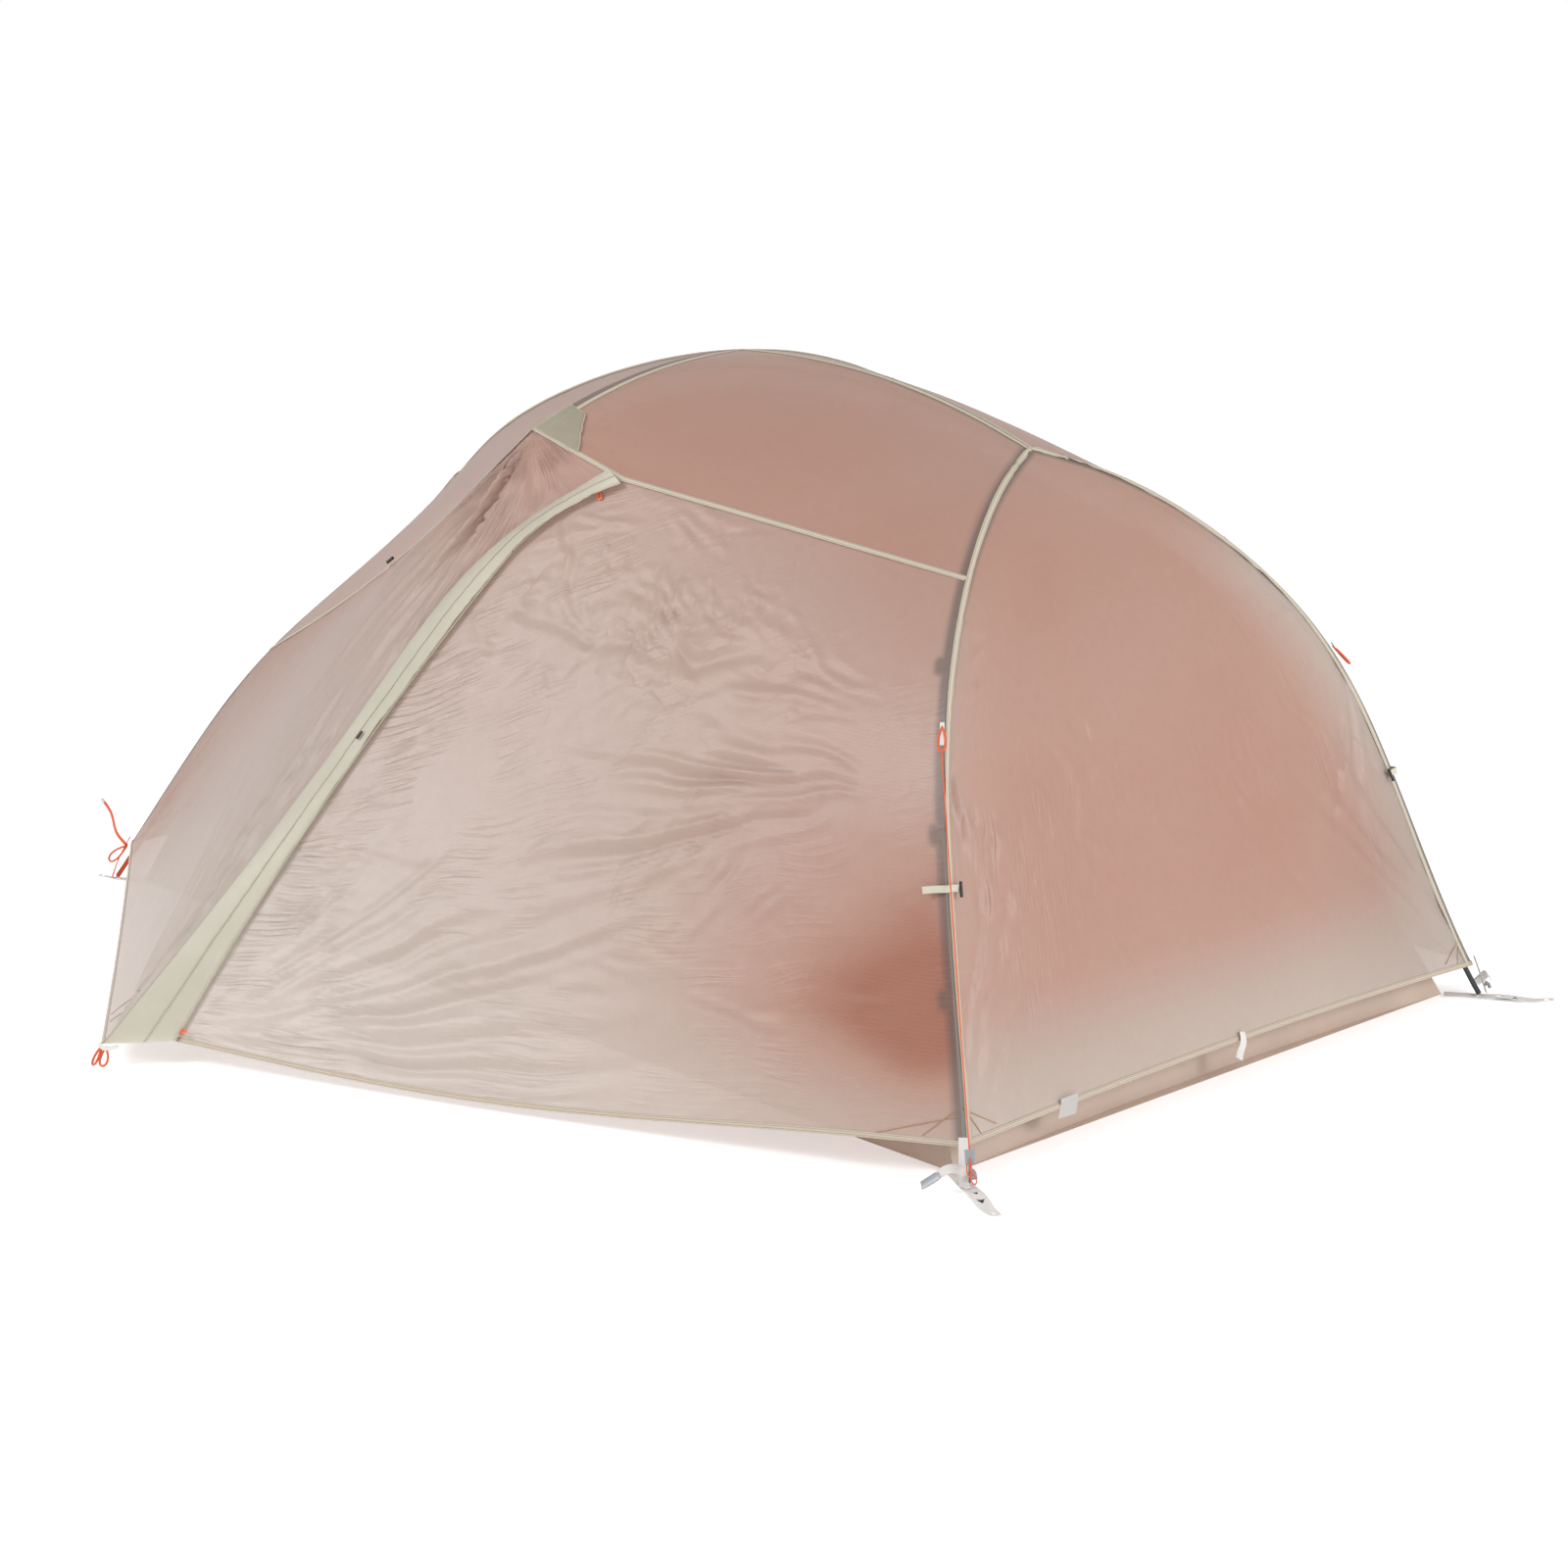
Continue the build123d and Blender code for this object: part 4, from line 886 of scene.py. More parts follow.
def tub_side(a, b, tuck):
    """One wall of the tub floor, pulled in a little along its edges."""
    along = np.linspace(0, 1, 90)[None, :, None]
    up = np.linspace(0, 1, 12)[:, None, None]
    low = np.append(a, 0.0014) * (1 - along) + np.append(b, 0.0014) * along
    high = np.append(a * TUB_LEAN, TUB_TOP) * (1 - along) + np.append(b * TUB_LEAN, TUB_TOP) * along
    grid = low * (1 - up) + high * up
    inward = unit(np.append(-(a + b) / 2, 0.0))
    belly = 4 * along * (1 - along)
    grid = grid + inward * belly * tuck * (1 - up) ** 2 - UP * belly * 0.012 * up
    return grid + crinkle(grid, 0.09, 0.0030, 61) * hold(grid, 2) * inward


TUCKS = (0.02, 0.006, 0.015, 0.006)  # at the head end, the rear, the foot end and the front
walls = [tub_side(corners[i], corners[(i + 1) % 4], TUCKS[i]) for i in range(4)]
dress(grid_mesh("tub_cloth", walls, [True] * 4), "floor_cloth", "frame", "tub_walls")

# ---- rainfly pieces ------------------------------------------------------------------------------------
shells = [inner[n] for n in inner] + [inner_door]
shells += [flip(s) for s in shells]
inner_verts, inner_faces, start = [], [], 0
for s in shells:
    inner_verts += s.reshape(-1, 3).tolist()
    inner_faces += quads(*s.shape[:2], start).tolist()
    start += s.shape[0] * s.shape[1]
tree = BVHTree.FromPolygons(inner_verts, inner_faces)


def shine(grid, reach):
    """How strongly the painted glow of the inner tent shows through, falling with the gap behind the cloth.
    """
    gaps = np.array([tree.find_nearest(Vector(p))[3] for p in grid.reshape(-1, 3)])
    return np.exp(-((np.maximum(gaps - 0.055, 0) / reach) ** 1.15)).reshape(grid.shape[:2])


def pole_shadow_mark(grid, edges):
    """Painted shadow of a pole under the cloth: 1 over a pole that lies under an edge of the panel, falling
    to 0 either side of it.
    """
    mark = np.zeros(grid.shape[:2])
    for line in edges:
        flat_points = grid.reshape(-1, 3)
        d = np.full(len(flat_points), 9.0)
        for p in line:
            d = np.minimum(d, np.linalg.norm(flat_points - p, axis=1))
        mark = np.maximum(mark, np.clip((0.0165 - d.reshape(mark.shape)) / 0.009, 0, 1))
    return mark


def under(line, start=0.0, end=1.0, count=260):
    return fly(line, count, start, end)


# poles under each panel, whose painted shadows darken the cloth
pole_shadow_lines = {
    "head_roof": [under(ridge, 0, CROSS), under(brow), under(head_leg, 0, HEAD_JOIN)],
    "foot_roof": [under(ridge, CROSS, 1), under(brow), under(foot_leg, 0, FOOT_JOIN)],
    "vestibule": [under(foot_leg, FOOT_JOIN, FOOT_HEM)],
    "head_panel": [under(head_leg, 0, HEM_SHARE), flip(under(head_leg, 0, HEM_SHARE))],
    "foot_panel": [under(foot_leg, 0, FOOT_HEM), flip(under(foot_leg, 0, FOOT_HEM))],
}
# painted light on the rainfly's panels: glow of the inner tent, shadow of the poles, and shade
values = {n: {"glow": shine(p, 0.11), "pole": pole_shadow_mark(p, pole_shadow_lines[n]), "painted_shade": 0.0} for n, p in panels.items()}
# weaker painted glow on the foot roof
values["foot_roof"]["glow"] *= 0.6
# painted shade on the vestibule
values["vestibule"]["painted_shade"] = 0.55


def rise(value, start, run):
    """0 up to a start, then growing to 1 over a run."""
    return np.clip((value - start) / run, 0, 1)


# painted glow: the inner tent's corners are set in from the end panels' edges, and its pale tub doesn't glow,
# so the painted glow fades there
for n in ("head_panel", "foot_panel"):
    g = panels[n]
    rows, columns = g.shape[:2]
    widths = np.linalg.norm(g[:, -1] - g[:, 0], axis=1)[:, None]
    from_edge = np.minimum(np.arange(columns), np.arange(columns)[::-1])[None] * widths / columns
    below = rise(np.arange(rows)[:, None], rows * 0.28, 30)
    values[n]["glow"] = values[n]["glow"] * (
        1 - (1 - rise(from_edge, 0.01, 0.16)) * below * np.where(g[..., 1] > 0, 0.8, 0.12)
    )
g = panels["head_panel"]
# weaker painted glow low down on the head panel
values["head_panel"]["glow"] *= 0.35 + 0.65 * rise(g[..., 2], 0.12, 0.12)
# painted shade on the head panel's rear side, low down
values["head_panel"]["painted_shade"] = 0.7 * rise(g[..., 1], 0.25, 0.3) * rise(-g[..., 2], -0.6, 0.3)


def shares(grid):
    """Row and column of every point, from 0 to 1."""
    return np.meshgrid(np.linspace(0, 1, grid.shape[0]), np.linspace(0, 1, grid.shape[1]), indexing="ij")


def pleated(grid, row, column, sector, pull, crumple=0.0):
    """Directions and strength of the finest creases, which fan out from a place on the sheet."""
    p, size = flat_map(grid)
    d = p - np.array([column, row]) * size
    angle, reach = np.arctan2(np.abs(d[..., 1]), d[..., 0]), np.hypot(d[..., 0], d[..., 1])
    return {"across": angle * sector, "along": reach, "pull": pull(reach, *shares(grid)), "crumple": crumple}


def bell(value, middle, half):
    return np.exp(-(((value - middle) / half) ** 2))


def vestibule_pull(reach, _, u):
    return 0.10 + 0.5 * np.exp(-reach / 0.22) + 0.30 * bell(u, 1, 0.3)


def roof_pull(reach, *_):
    return 0.04 + 0.9 * np.exp(-reach / 0.09)


values["vestibule"].update(pleated(panels["vestibule"], 0, corner_u, 0.40, vestibule_pull))
for n, column in (("head_roof", 0), ("foot_roof", 1)):
    values[n].update(pleated(panels[n], 1, column, 0.12, roof_pull))
for n in ("head_panel", "foot_panel"):
    v, u = shares(panels[n])
    edge = np.minimum(u, 1 - u)
    values[n].update(
        across=u * 0.8 + 0 * v, along=v, crumple=0.06,
        pull=0.05 + (0.55 * bell(edge, 0.12, 0.12) + 0.3 * bell(edge, 0.35, 0.12)) * bell(v, 0.72, 0.22),
    )
away_from_leg = np.array([-0.83, -0.54, -0.14])
# low on the door, where the painted glow is stronger
low_glow = rise(-door_sheet[..., 2], -0.55, 0.3) * rise(door_sheet[..., 2], 0.09, 0.12)
low_glow = low_glow * rise(door_sheet[..., 0], 0.45, 0.5)
clip_shadows = []  # painted shadows of each clip of the inner tent, seen through the door's cloth
for share in (0.42, 0.62, 0.8):
    clip = under(head_leg, share - 0.004, share + 0.004, 3)
    clip_shadows += [clip, clip + away_from_leg * 0.007, clip + away_from_leg * 0.013]
near_leg = rise(door_sheet[..., 0], 0.35, 0.55)
door_values = {
    # painted shade, darker by the leg and low down
    "painted_shade": 0.35 * near_leg * rise(-door_sheet[..., 2], -0.6, 0.5),
    # painted glow of the inner tent, stronger by the leg and low down
    "glow": shine(door_sheet, 0.16) * (0.60 + 0.30 * near_leg + 0.85 * low_glow),
    # painted shadow of the pole and of each clip under the door
    "pole": pole_shadow_mark(door_sheet, [under(head_leg, HEAD_JOIN, HEM_SHARE)] + clip_shadows),
}


def door_pull(_, v, u):
    return 0.12 + 0.75 * np.exp(-u / 0.22) * np.clip(v * 4, 0, 1) + 0.45 * rise(v, 0.6, 0.4) * (1 - u)


v, u = shares(door_sheet)
crumpled = 0.10 + 0.75 * bell(v, 0.28, 0.14) * bell(u, 0.42, 0.26)
door_values.update(pleated(door_sheet, 1.02, -0.9 / flat_map(door_sheet)[1][0], 1.2, door_pull, crumpled))

paired, ends = ["head_roof", "foot_roof", "vestibule"], ["head_panel", "foot_panel"]
fixed = [panels[n] for n in paired] + [flip(panels[n]) for n in paired] + [panels[n] for n in ends]
fixed_values = [values[n] for n in paired] * 2 + [values[n] for n in ends]
turns = [False, False, False, True, True, True, True, False]
canopy = grid_mesh("rainfly_canopy", fixed, turns, fixed_values, weld=True)
replaced = [f"fly_{s}_{n}" for s in ("front", "rear") for n in paired] + [f"fly_{n}" for n in ends]
dress(canopy, "fly_shell", "fly", *replaced)

fold = unit(head_corner - ZIP_TOP)
away = unit(np.cross(fold, outward((head_corner + ZIP_TOP) / 2)))
if away @ (ZIP_FOOT - ZIP_TOP) < 0:
    away = -away


def join_door(obj, side):
    """Bakes the transform of a piece of the door sheet into its mesh; the door's fold line is worked out but
    not used.
    """
    start, end = ZIP_TOP + away * 0.004, ZIP_TOP + away * 0.07
    if side == "rear":
        start, end = flip(start), flip(end)
    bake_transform(obj)


for side, turn in (("front", False), ("rear", True)):
    sheet = grid_mesh(f"{side}_door_cloth", [flip(door_sheet) if turn else door_sheet], [turn], [door_values])
    dress(sheet, "fly_shell", None, f"{side}_door", f"fly_{side}_quarter")
    join_door(sheet, side)

# rain flap and the band under it
rows = n_head_low
flap_edge = resample(flap_path, rows)
out = outward(zip_edge)
reach = np.linspace(0, 1, rows)[:, None]
overhang = 0.007 + 0.009 * np.exp(-((reach - 0.03) / 0.12) ** 2)
free_edge = zip_edge + toward_door * overhang + out * 0.0082
columns = 9
w = np.linspace(0, 1, columns)[None, :, None]
spread = 0.030 * np.exp(-(reach / 0.30) ** 2) * np.clip(1.2 - reach, 0, 1)
seam_end = unit(brow_end - ZIP_TOP)
at_top = np.exp(-(reach / 0.05) ** 2)
root = flap_edge + (seam_end * at_top - toward_door * (1 - at_top)) * spread
root = root + outward(root) * (0.0016 + 0.10 * spread)
flap = root[:, None] * (1 - w) + free_edge[:, None] * w
flap = flap + out[:, None] * (4 * w * (1 - w)) * 0.0045
flap += np.abs(crinkle(flap, 0.030, 0.0022, 71)) * out[:, None] * np.clip(w * 3, 0, 1)
ripple = np.sin(np.arange(rows) * 0.33 + 2 * np.sin(np.arange(rows) * 0.071))[:, None, None]
flap += out[:, None] * (1 + ripple) * 0.0009 * w
band_edge = zip_edge - toward_door * 0.0045
zip_band = flap_edge[:, None] * (1 - w) + band_edge[:, None] * w - out[:, None] * 0.0008
for side, turn in (("front", False), ("rear", True)):
    for name, sheet in (("rain_flap", flap), ("zip_band", zip_band)):
        piece = grid_mesh(f"{side}_{name}", [flip(sheet) if turn else sheet], [turn])
        dress(piece, "fly_flap", "fly", *([] if turn else [f"{name}s"]))


# ---- seams and hems ------------------------------------------------------------------------------------
def on_grid(grid, row=None, column=None):
    n = normals(grid)
    return (grid[row], n[row]) if row is not None else (grid[:, column], n[:, column])


def seam(name, line_and_normal, width, finish, body="fly", shift=0.0, twin=True):
    """Sewn strip on a panel, and its twin on the rear side."""
    line, n = line_and_normal
    sewn_strip = tape(name, line, n, width, shift=shift)
    made = [(sewn_strip, body)]
    if twin:
        made.append((mirrored_copy(sewn_strip, name + "_rear"), body.replace("front", "rear")))
    for obj, rides in made:
        if rides.endswith("_door"):
            dress(obj, finish, None)
            join_door(obj, rides[:-5])
        else:
            dress(obj, finish, rides)


head_roof, foot_roof, vestibule = panels["head_roof"], panels["foot_roof"], panels["vestibule"]
for name, place, width in (
    ("ridge_head", on_grid(head_roof, row=1), 0.008), ("ridge_foot", on_grid(foot_roof, row=1), 0.008),
    ("brow", on_grid(head_roof, column=2), 0.009), ("roof_head", on_grid(head_roof, row=-1), 0.011),
    ("roof_foot", on_grid(foot_roof, row=-1), 0.010),
    ("head_leg", on_grid(panels["head_panel"], column=2), 0.010),
    ("foot_leg", on_grid(panels["foot_panel"], column=2), 0.010),
):
    seam(f"seam_{name}", place, width, "seam")
seam("seam_flap", on_grid(vestibule, column=-1), 0.004, "flap_seam")
seam("hem_vestibule", on_grid(vestibule, row=-1), 0.009, "binding")
for end in ("head", "foot"):
    seam(f"hem_{end}", on_grid(panels[f"{end}_panel"], row=-1), 0.009, "binding", twin=False)
seam("hem_door", on_grid(door_sheet, row=-1), 0.009, "binding", "front_door")
flap_n = normals(flap)
seam("flap_edge", (flap[:, -1], flap_n[:, -1]), 0.003, "flap_seam", shift=-0.0015)
seam("flap_fold", (flap[:, 5], flap_n[:, 5]), 0.0014, "flap_seam")

# ---- webbing, cord and loops ---------------------------------------------------------------------------
def both_sides(obj, finish="pale_webbing", body="fly", replaced=None):
    """Dresses a front piece and makes its rear twin."""
    dress(obj, finish, body, *([replaced] if replaced else []))
    dress(mirrored_copy(obj, obj.name + "_rear"), finish, body)


def band(name, points, outs, width, thick=0.0012, count=40):
    """Flat webbing that follows a curve, turning from its first facing to its last."""
    line = spline(points, count)
    t = np.linspace(0, 1, count)[:, None]
    out = np.asarray(outs[0], float) * (1 - t) + np.asarray(outs[-1], float) * t
    w, h = width / 2, thick / 2
    half = [(-w, h * 0.5), (-w * 0.86, h), (0, h * 0.8), (w * 0.86, h), (w, h * 0.5)]
    return sweep(name, line, None, out, half + [(a, -b) for a, b in half[::-1]])


def loop(name, top, down, side, length, width, radius, depth=0.0, count=48):
    """Teardrop of cord that hangs from a point."""
    down, side = unit(down), unit(side)
    face = np.cross(down, side)
    t = np.linspace(0, 2 * math.pi, count)[:, None]
    line = top + down * length * (1 - np.cos(t)) / 2 + side * width / 2 * np.sin(t) * np.sin(t / 2) ** 1.2
    return cord(name, line + face * depth * np.sin(t / 2), radius, 8)


def web_ladder(name, start, run, length, width, round_holes, windows):
    """Corner webbing on the ground, with round eyes and V-shaped windows cut through it."""
    pitch = 0.0013
    n, k = int(length / pitch) + 1, int(width / pitch) + 1
    s, w = np.meshgrid(np.linspace(0, length, n), np.linspace(-width / 2, width / 2, k), indexing="ij")

    def gap(a, b):
        d = np.full(a.shape, 1.0)
        for at, r in round_holes:
            d = np.minimum(d, np.hypot(a - at, b) - r)
        for at in windows:
            slope = np.abs(b) * 0.86 + (a - at) * 0.5
            d = np.minimum(d, np.maximum(slope - 0.0040, -(a - at) - 0.0052))
        return d

    d = gap(s, w)
    step = 1e-5
    grad = np.stack([gap(s + step, w) - d, gap(s, w + step) - d], -1) / step
    near = np.abs(d) < pitch * 0.75
    s, w = np.where(near, s - d * grad[..., 0], s), np.where(near, w - d * grad[..., 1], w)
    taper = 1 - 0.35 * np.clip((s / length - 0.72) / 0.28, 0, 1)
    cross = np.array([-run[1], run[0], 0])
    waves = 0.0016 * (1 + np.sin(s * 70 + 1)) * np.clip(s / 0.05, 0, 1)
    z = 0.0016 + waves + 0.0006 * (1 + np.sin(w * 300 + s * 90))
    grid = start + s[..., None] * run + (w * taper)[..., None] * cross + z[..., None] * np.array([0, 0, 1])
    keep = (d > 0) | near
    faces = quads(n, k)
    faces = faces[keep.reshape(-1)[faces].all(1) & (d.reshape(-1)[faces].mean(1) > 0)]
    used = np.unique(faces)
    index = np.zeros(n * k, int)
    index[used] = np.arange(len(used))
    mesh = bpy.data.meshes.new(name)
    mesh.from_pydata(grid.reshape(-1, 3)[used].tolist(), [], index[faces].tolist())
    set_uv(mesh, np.stack([s, (w / width) + 0.5], -1).reshape(-1, 2)[used], False)
    obj = link(name, mesh)
    thick = obj.modifiers.new("thick", "SOLIDIFY")
    thick.thickness, thick.offset = 0.0012, 0.0
    apply_modifiers(obj)
    return obj


def stitches(name, grid, body, start, end):
    """Row of stitching across a sheet, between two places given as (row, column) shares."""
    t = np.linspace(0, 1, 30)
    v, u = start[0] + (end[0] - start[0]) * t, start[1] + (end[1] - start[1]) * t
    seam(name, (sample(grid, v, u), sample(normals(grid), v, u)), 0.0013, "stitch", body)


front_right = np.array([0.7, -0.714, 0.0])
corner_h, corner_f = door_sheet[-1, -1], vestibule[-1, 0]
run_h = unit((HEAD_TIP - [1.15, -0.655, 0.008]) * [1, 1, 0])
run_f = unit((FOOT_TIP - [-1.15, -0.530, 0.008]) * [1, 1, 0])

# head corners: strap with a slide and a cuffed tail, and the webbing that takes the pole tip
strap_foot = np.array([1.2105, -0.7030, 0.008])
hang = [
    corner_h + front_right * 0.004 + [0, 0, 0.012], corner_h + front_right * 0.015 - [0, 0, 0.016], strap_foot
]
both_sides(band("head_corner_strap", hang, [front_right] * 2, 0.0145), replaced="head_corner_straps")
tail_start = strap_foot + [0.0025, -0.0045, 0.026]
drops = ([-0.014, -0.014, 0.003], [-0.032, -0.026, -0.013], [-0.048, -0.035, -0.027])
tail = [tail_start] + [tail_start + drop for drop in drops]
facing = [np.array([0.5, -0.6, 0.6]), np.array([0.1, -0.5, 0.86])]
both_sides(band("head_strap_tail", tail, facing, 0.0145))
cuff = (tail[1] * 0.35 + tail[2] * 0.65, (tail[2] + tail[3]) / 2, tail[3])
cuff = [p + np.array([0.0002, -0.0012, 0.0014]) for p in cuff]
both_sides(band("head_strap_cuff", cuff, [facing[1]] * 2, 0.0158, 0.0022), "reflective")
slide = np.array([[1.214, -0.690, 0.028], [1.222, -0.694, 0.020]])
slide = [slide[0], slide.mean(0) + [0.002, -0.002, 0.002], slide[1]]
both_sides(band("head_strap_slide", slide, [front_right] * 2, 0.011, 0.004), "grey_plastic")

start_h = np.append(FLOOR_HEAD, 0) + run_h * 0.004
reach_h = np.linalg.norm((HEAD_TIP - start_h)[:2])
eyes, windows = [(reach_h, 0.006), (reach_h + 0.116, 0.005)], [reach_h + 0.034, reach_h + 0.062]
ladder = web_ladder("head_ladder", start_h, run_h, reach_h + 0.128, 0.025, eyes, windows)
both_sides(ladder, "pale_webbing", "frame", "head_corner_ladders")
backing = [start_h + run_h * (reach_h + d) + [0, 0, 0.0022] for d in (0.024, 0.048, 0.074)]
both_sides(band("head_ladder_backing", backing, [[0, 0, 1]] * 2, 0.014, 0.0006), "dark_plastic", "frame")

# foot corners: webbing, and an orange strap with a free tail and a cord loop
start_f = np.append(FLOOR_FOOT, 0) + run_f * 0.004
reach_f = np.linalg.norm((FOOT_TIP - start_f)[:2])
eyes = [(reach_f, 0.0052), (reach_f + 0.033, 0.0048)]
ladder = web_ladder("foot_ladder", start_f, run_f, reach_f + 0.044, 0.0135, eyes, [])
both_sides(ladder, "pale_webbing", "frame", "foot_corner_ladders")
out_f = np.array([-0.8, -0.6, 0.0])
low_f = corner_f + [-0.0410, -0.0246, 0.006 - corner_f[2]]
hang = [corner_f + out_f * 0.004 + [0, 0, 0.010], (corner_f + low_f) / 2 + out_f * 0.008, low_f]
strap = band("foot_corner_strap", hang, [out_f, [-0.3, -0.9, 0.2]], 0.009)
both_sides(strap, "orange_cord", "fly", "foot_corner_straps")
tail_root = corner_f + out_f * 0.011 - [0, 0, 0.008]
facing_f = np.array([0.15, -0.95, 0.25])
lifts = ([-0.020, -0.012, 0.028], [-0.026, -0.017, 0.064], [-0.042, -0.029, 0.096])
tail = [tail_root] + [tail_root + lift for lift in lifts]
both_sides(band("foot_strap_tail", tail, [facing_f] * 2, 0.0070, 0.0014), "orange_cord")
cuff = [tail[3] * 0.75 + tail[2] * 0.25, tail[3]]
both_sides(band("foot_strap_cuff", cuff, [facing_f] * 2, 0.0076, 0.0022, 12))
hanging = loop("foot_strap_loop", tail_root, [-0.62, -0.42, -0.60], [-0.7, 0.1, 0.6], 0.052, 0.026, 0.0021)
both_sides(hanging, "orange_cord")

# guy loops on the head legs, and the front guyline
leg_way = np.array([0.315, -0.252, -0.915])
guy_spot, guy_top = np.array([0.9989, -0.5243, 0.6118]), np.array([1.0062, -0.5333, 0.5949])
guy_end = np.array([1.232, -0.712, 0.034])
guy_out = outward(guy_spot)
guy_root = guy_spot - leg_way * 0.020 - guy_out * 0.0115
hung, across = guy_top - guy_root, np.cross(leg_way, guy_out)
hanging = loop("guy_loop", guy_root, hung, across, np.linalg.norm(hung) + 0.002, 0.016, 0.0019)
both_sides(hanging, "orange_cord", "fly", "guy_loops")
tab_middle = guy_root * 0.5 + guy_spot * 0.5 - guy_out * 0.002
path = [guy_root - leg_way * 0.006, tab_middle, guy_top * 0.6 + guy_spot * 0.4]
both_sides(band("guy_loop_tab", path, [guy_out] * 2, 0.007, 0.0014))
t = np.linspace(0, 1, 60)[:, None]
bow = np.sin(t * math.pi)
guy = guy_top * (1 - t) + guy_end * t + guy_out * 0.0035 * bow - np.array([0, 0, 0.004]) * bow
dress(cord("guy_cord", guy, 0.0011, 8), "orange_cord", "fly", "guyline")
guy_way = unit(guy_end - guy_top)
bight_top = guy_end - guy_way * 0.030 + front_right * 0.002
bight = loop("guy_cord_bight", bight_top, guy_way, front_right + [0.5, 0.3, 0], 0.032, 0.018, 0.0011, 0.004)
dress(bight, "orange_cord", "fly")
end_top = guy_end - guy_way * 0.006
knotted = loop("guy_cord_end", end_top, guy_way + [0.0, 0.3, 0], [0.7, 0.7, 0.1], 0.020, 0.010, 0.0011)
dress(knotted, "orange_cord", "fly")

# tie-backs around the head legs
tie_spot = np.array([1.0706, -0.5943, 0.4056])
tie_out = outward(tie_spot)
tie_way = unit(np.cross(tie_out, leg_way))
tie_way = tie_way * (-1 if tie_way[0] > 0 else 1)
path = [
    tie_spot + tie_way * 0.034 - tie_out * 0.001, tie_spot + tie_way * 0.012, tie_spot + [0.004, 0.001, 0],
    tie_spot + [0.005, 0.014, -0.001], tie_spot + [0.006, 0.025, -0.003],
]
tie = band("tie_back", path, [tie_out, [1, -0.1, 0.2]], 0.011, 0.0012)
both_sides(tie, "seam_webbing", "fly", "tie_back_straps")

# stake loops at the vestibules' apexes
apex_way = np.array([0.08, -0.55, -0.83])
top = APEX + [0.004, -0.004, -0.002]
hanging = loop("apex_loop", top, apex_way, [0.95, -0.25, 0.1], 0.034, 0.026, 0.0021, 0.002)
both_sides(hanging, "orange_cord", "fly", "apex_loops")
top, spare_way = APEX + [0.014, -0.003, -0.002], apex_way + [0.55, 0, 0.02]
hanging = loop("apex_loop_spare", top, spare_way, [0.9, 0.2, 0.3], 0.036, 0.026, 0.0021, 0.003)
both_sides(hanging, "orange_cord")
shifts = ([0.040, 0.004, 0.004], [0.030, -0.006, 0.000], [0.010, -0.008, -0.002], [-0.002, -0.006, 0.002])
both_sides(band("apex_tab", [APEX + shift for shift in shifts], [[0.1, -0.8, 0.5]] * 2, 0.007, 0.0012))

# webbing and blank label on the head hem
hem = panels["head_panel"][-1]
middle = hem[len(hem) // 2]
shifts = ([0.001, 0.004, 0.010], [0.007, 0.0, -0.006], [0.006, -0.006, -0.022], [0.010, -0.014, -0.030])
tie = band("hem_tie_web", [middle + shift for shift in shifts], [[1, 0, 0.1], [1, -0.3, 0.5]], 0.014)
dress(tie, "pale_webbing", "fly", "hem_tie")
tag = hem[int(len(hem) * 0.82)] if hem[0][1] > 0 else hem[int(len(hem) * 0.18)]
b, a = np.meshgrid(np.linspace(0, 1, 18), np.linspace(-0.020, 0.020, 22), indexing="ij")
grid = tag + np.stack([0.0035 + 0.0012 * np.sin(a * 60) * b - 0.004 * b * b, a, 0.011 - 0.033 * b], -1)
dress(grid_mesh("hem_label_cloth", [grid], [False]), "label", "fly", "hem_label")

# reinforcement at the brow pole's end: a stiffened triangle on the roof
k_rows, k_cols = int(0.088 / CELL), int(0.080 / CELL)
rows_v = np.linspace(0, 1, k_rows)[:, None]
share = np.linspace(0, 1, k_cols)[None, :]
rr, cc = head_roof.shape[:2]
v = 1 - rows_v * k_rows / (rr - 1)
u = share * k_cols / (cc - 1) * (1 - 0.62 * rows_v)
v, u = v + 0 * u, u + 0 * v
piece = sample(head_roof, v, u) + sample(normals(head_roof), v, u) * 0.0030
piece += crinkle(piece, 0.011, 0.0022, 91, (1, 1, 0.6)) * outward(piece)
both_sides(grid_mesh("brow_patch", [piece], [True]), "patch_cloth", "fly", "brow_patches")
patch_n = normals(piece)
seam("patch_stitch_side", (piece[:, -1], patch_n[:, -1]), 0.0022, "flap_seam")
seam("patch_stitch_top", (piece[-1], patch_n[-1]), 0.0022, "flap_seam")

# stitched corners
stitches("corner_stitch_a", door_sheet, "front_door", (0.945, 0.995), (0.992, 0.955))
stitches("corner_stitch_b", door_sheet, "front_door", (0.955, 0.999), (0.996, 0.90))
for index, (a, b) in enumerate((((0.965, 0.005), (0.992, 0.055)), ((0.960, 0.002), (0.996, 0.03)))):
    stitches(f"corner_stitch_c{index}", panels["head_panel"], "fly", a, b)
for index, reach in enumerate((0.05, 0.075)):
    stitches(f"apex_stitch_{index}", vestibule, "fly", (1 - reach, 0.985), (0.99, 1 - reach * 1.3))

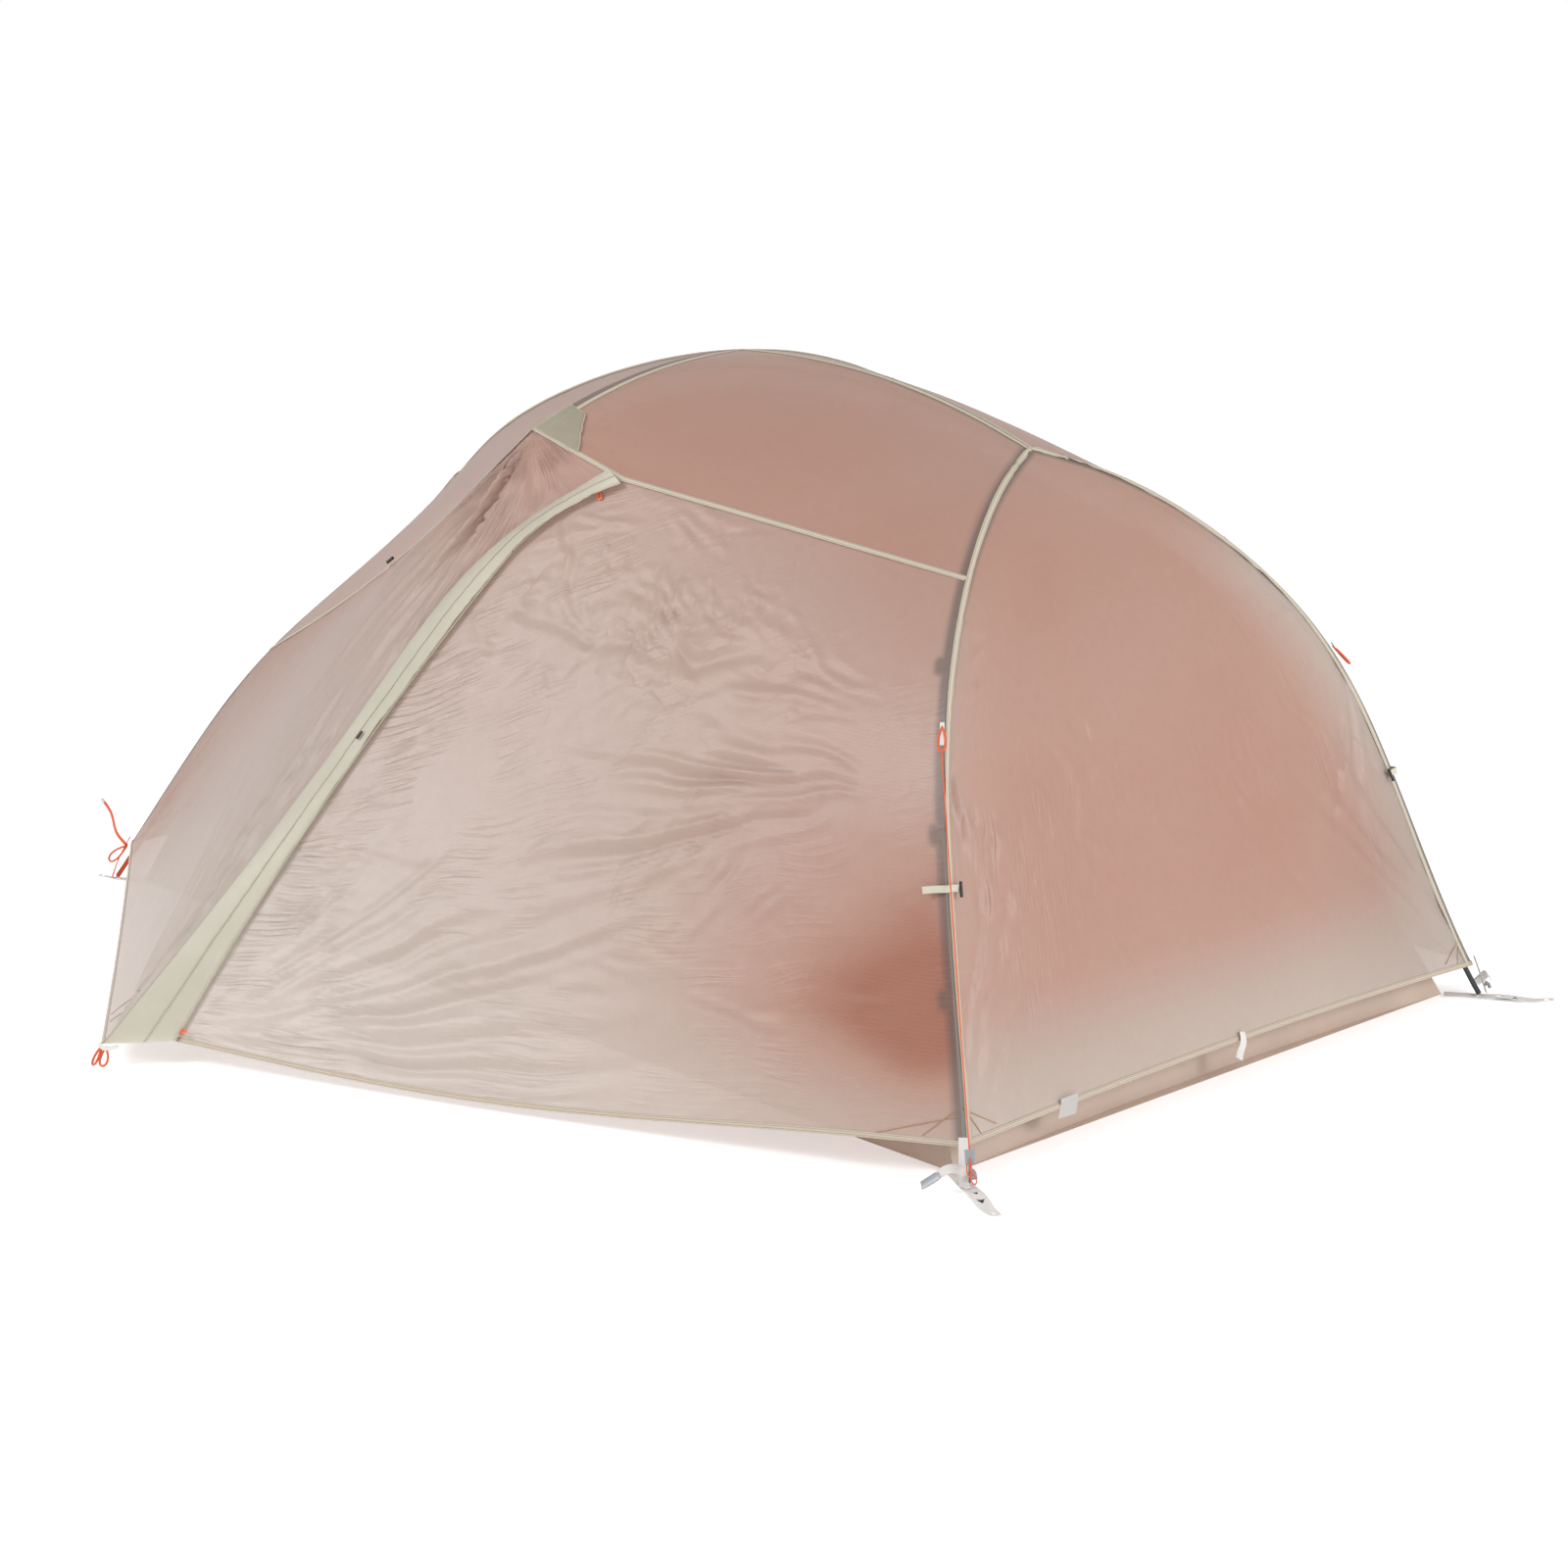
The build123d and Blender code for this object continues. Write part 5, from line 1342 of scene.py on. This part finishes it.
# ---- camera, light and floor ---------------------------------------------------------------------------
scene = bpy.context.scene
camera = bpy.data.objects.new("camera", bpy.data.cameras.new("camera"))
scene.collection.objects.link(camera)
scene.camera = camera
camera.data.lens, camera.data.sensor_width = 66.96, 36.0
camera.data.shift_x = 0.0375
camera.location = (3.807, -3.734, 1.476)
azimuth, elevation = math.radians(45.52), math.radians(12.40)
ahead = Vector(
    (-math.sin(azimuth) * math.cos(elevation), math.cos(azimuth) * math.cos(elevation), -math.sin(elevation))
)
camera.rotation_mode = "QUATERNION"
camera.rotation_quaternion = ahead.to_track_quat("-Z", "Y")

ground = bpy.data.meshes.new("ground")
FLOOR_HALF, FLOOR_Z = 40, -0.001
square = [(x * FLOOR_HALF, y * FLOOR_HALF, FLOOR_Z) for x, y in ((-1, -1), (1, -1), (1, 1), (-1, 1))]
ground.from_pydata(square, [], [(0, 1, 2, 3)])
ground_obj = link("ground", ground)
f = Finish("ground")
grain = f.noise(14.0, 3.0, f.where())
shade = f.mix(grain, (0.80, 0.80, 0.80, 1), (0.84, 0.84, 0.84, 1))
face = f.node(
    "ShaderNodeBsdfPrincipled", None, Base_Color=shade, Roughness=0.9,
    Emission_Color=(1, 1, 1, 1), Emission_Strength=0.42,
)
ground.materials.append(f.finish(face.outputs[0]))

world = bpy.data.worlds.new("studio")
scene.world = world
world.use_nodes = True
sky = world.node_tree.nodes
place, split = sky.new("ShaderNodeTexCoord"), sky.new("ShaderNodeSeparateXYZ")
height, seen, power = sky.new("ShaderNodeMapRange"), sky.new("ShaderNodeLightPath"), sky.new("ShaderNodeMix")
height.inputs[1].default_value, height.inputs[2].default_value = 0.0, 1.0
height.inputs[3].default_value, height.inputs[4].default_value = 0.88, 0.68
power.inputs[3].default_value = 1.0
for source, target in (
    (place.outputs["Generated"], split.inputs[0]), (split.outputs[2], height.inputs[0]),
    (seen.outputs["Is Camera Ray"], power.inputs[0]), (height.outputs[0], power.inputs[2]),
    (power.outputs[0], sky["Background"].inputs[1]),
):
    world.node_tree.links.new(source, target)
sky["Background"].inputs[0].default_value = (1.0, 1.0, 1.0, 1)
scene.view_settings.view_transform = "Standard"


def lamp(name, place, target, size, power):
    """Square soft light that faces a target."""
    light = bpy.data.lights.new(name, "AREA")
    light.size, light.energy = size, power
    obj = link(name, light)
    obj.location = place
    obj.rotation_mode = "QUATERNION"
    obj.rotation_quaternion = (Vector(target) - Vector(place)).to_track_quat("-Z", "Y")


lamp("key", (-1.3, -4.4, 3.6), (0.1, -0.6, 0.45), 2.0, 140)
lamp("side", (4.9, 0.6, 2.0), (0.9, 0.0, 0.5), 1.4, 95)
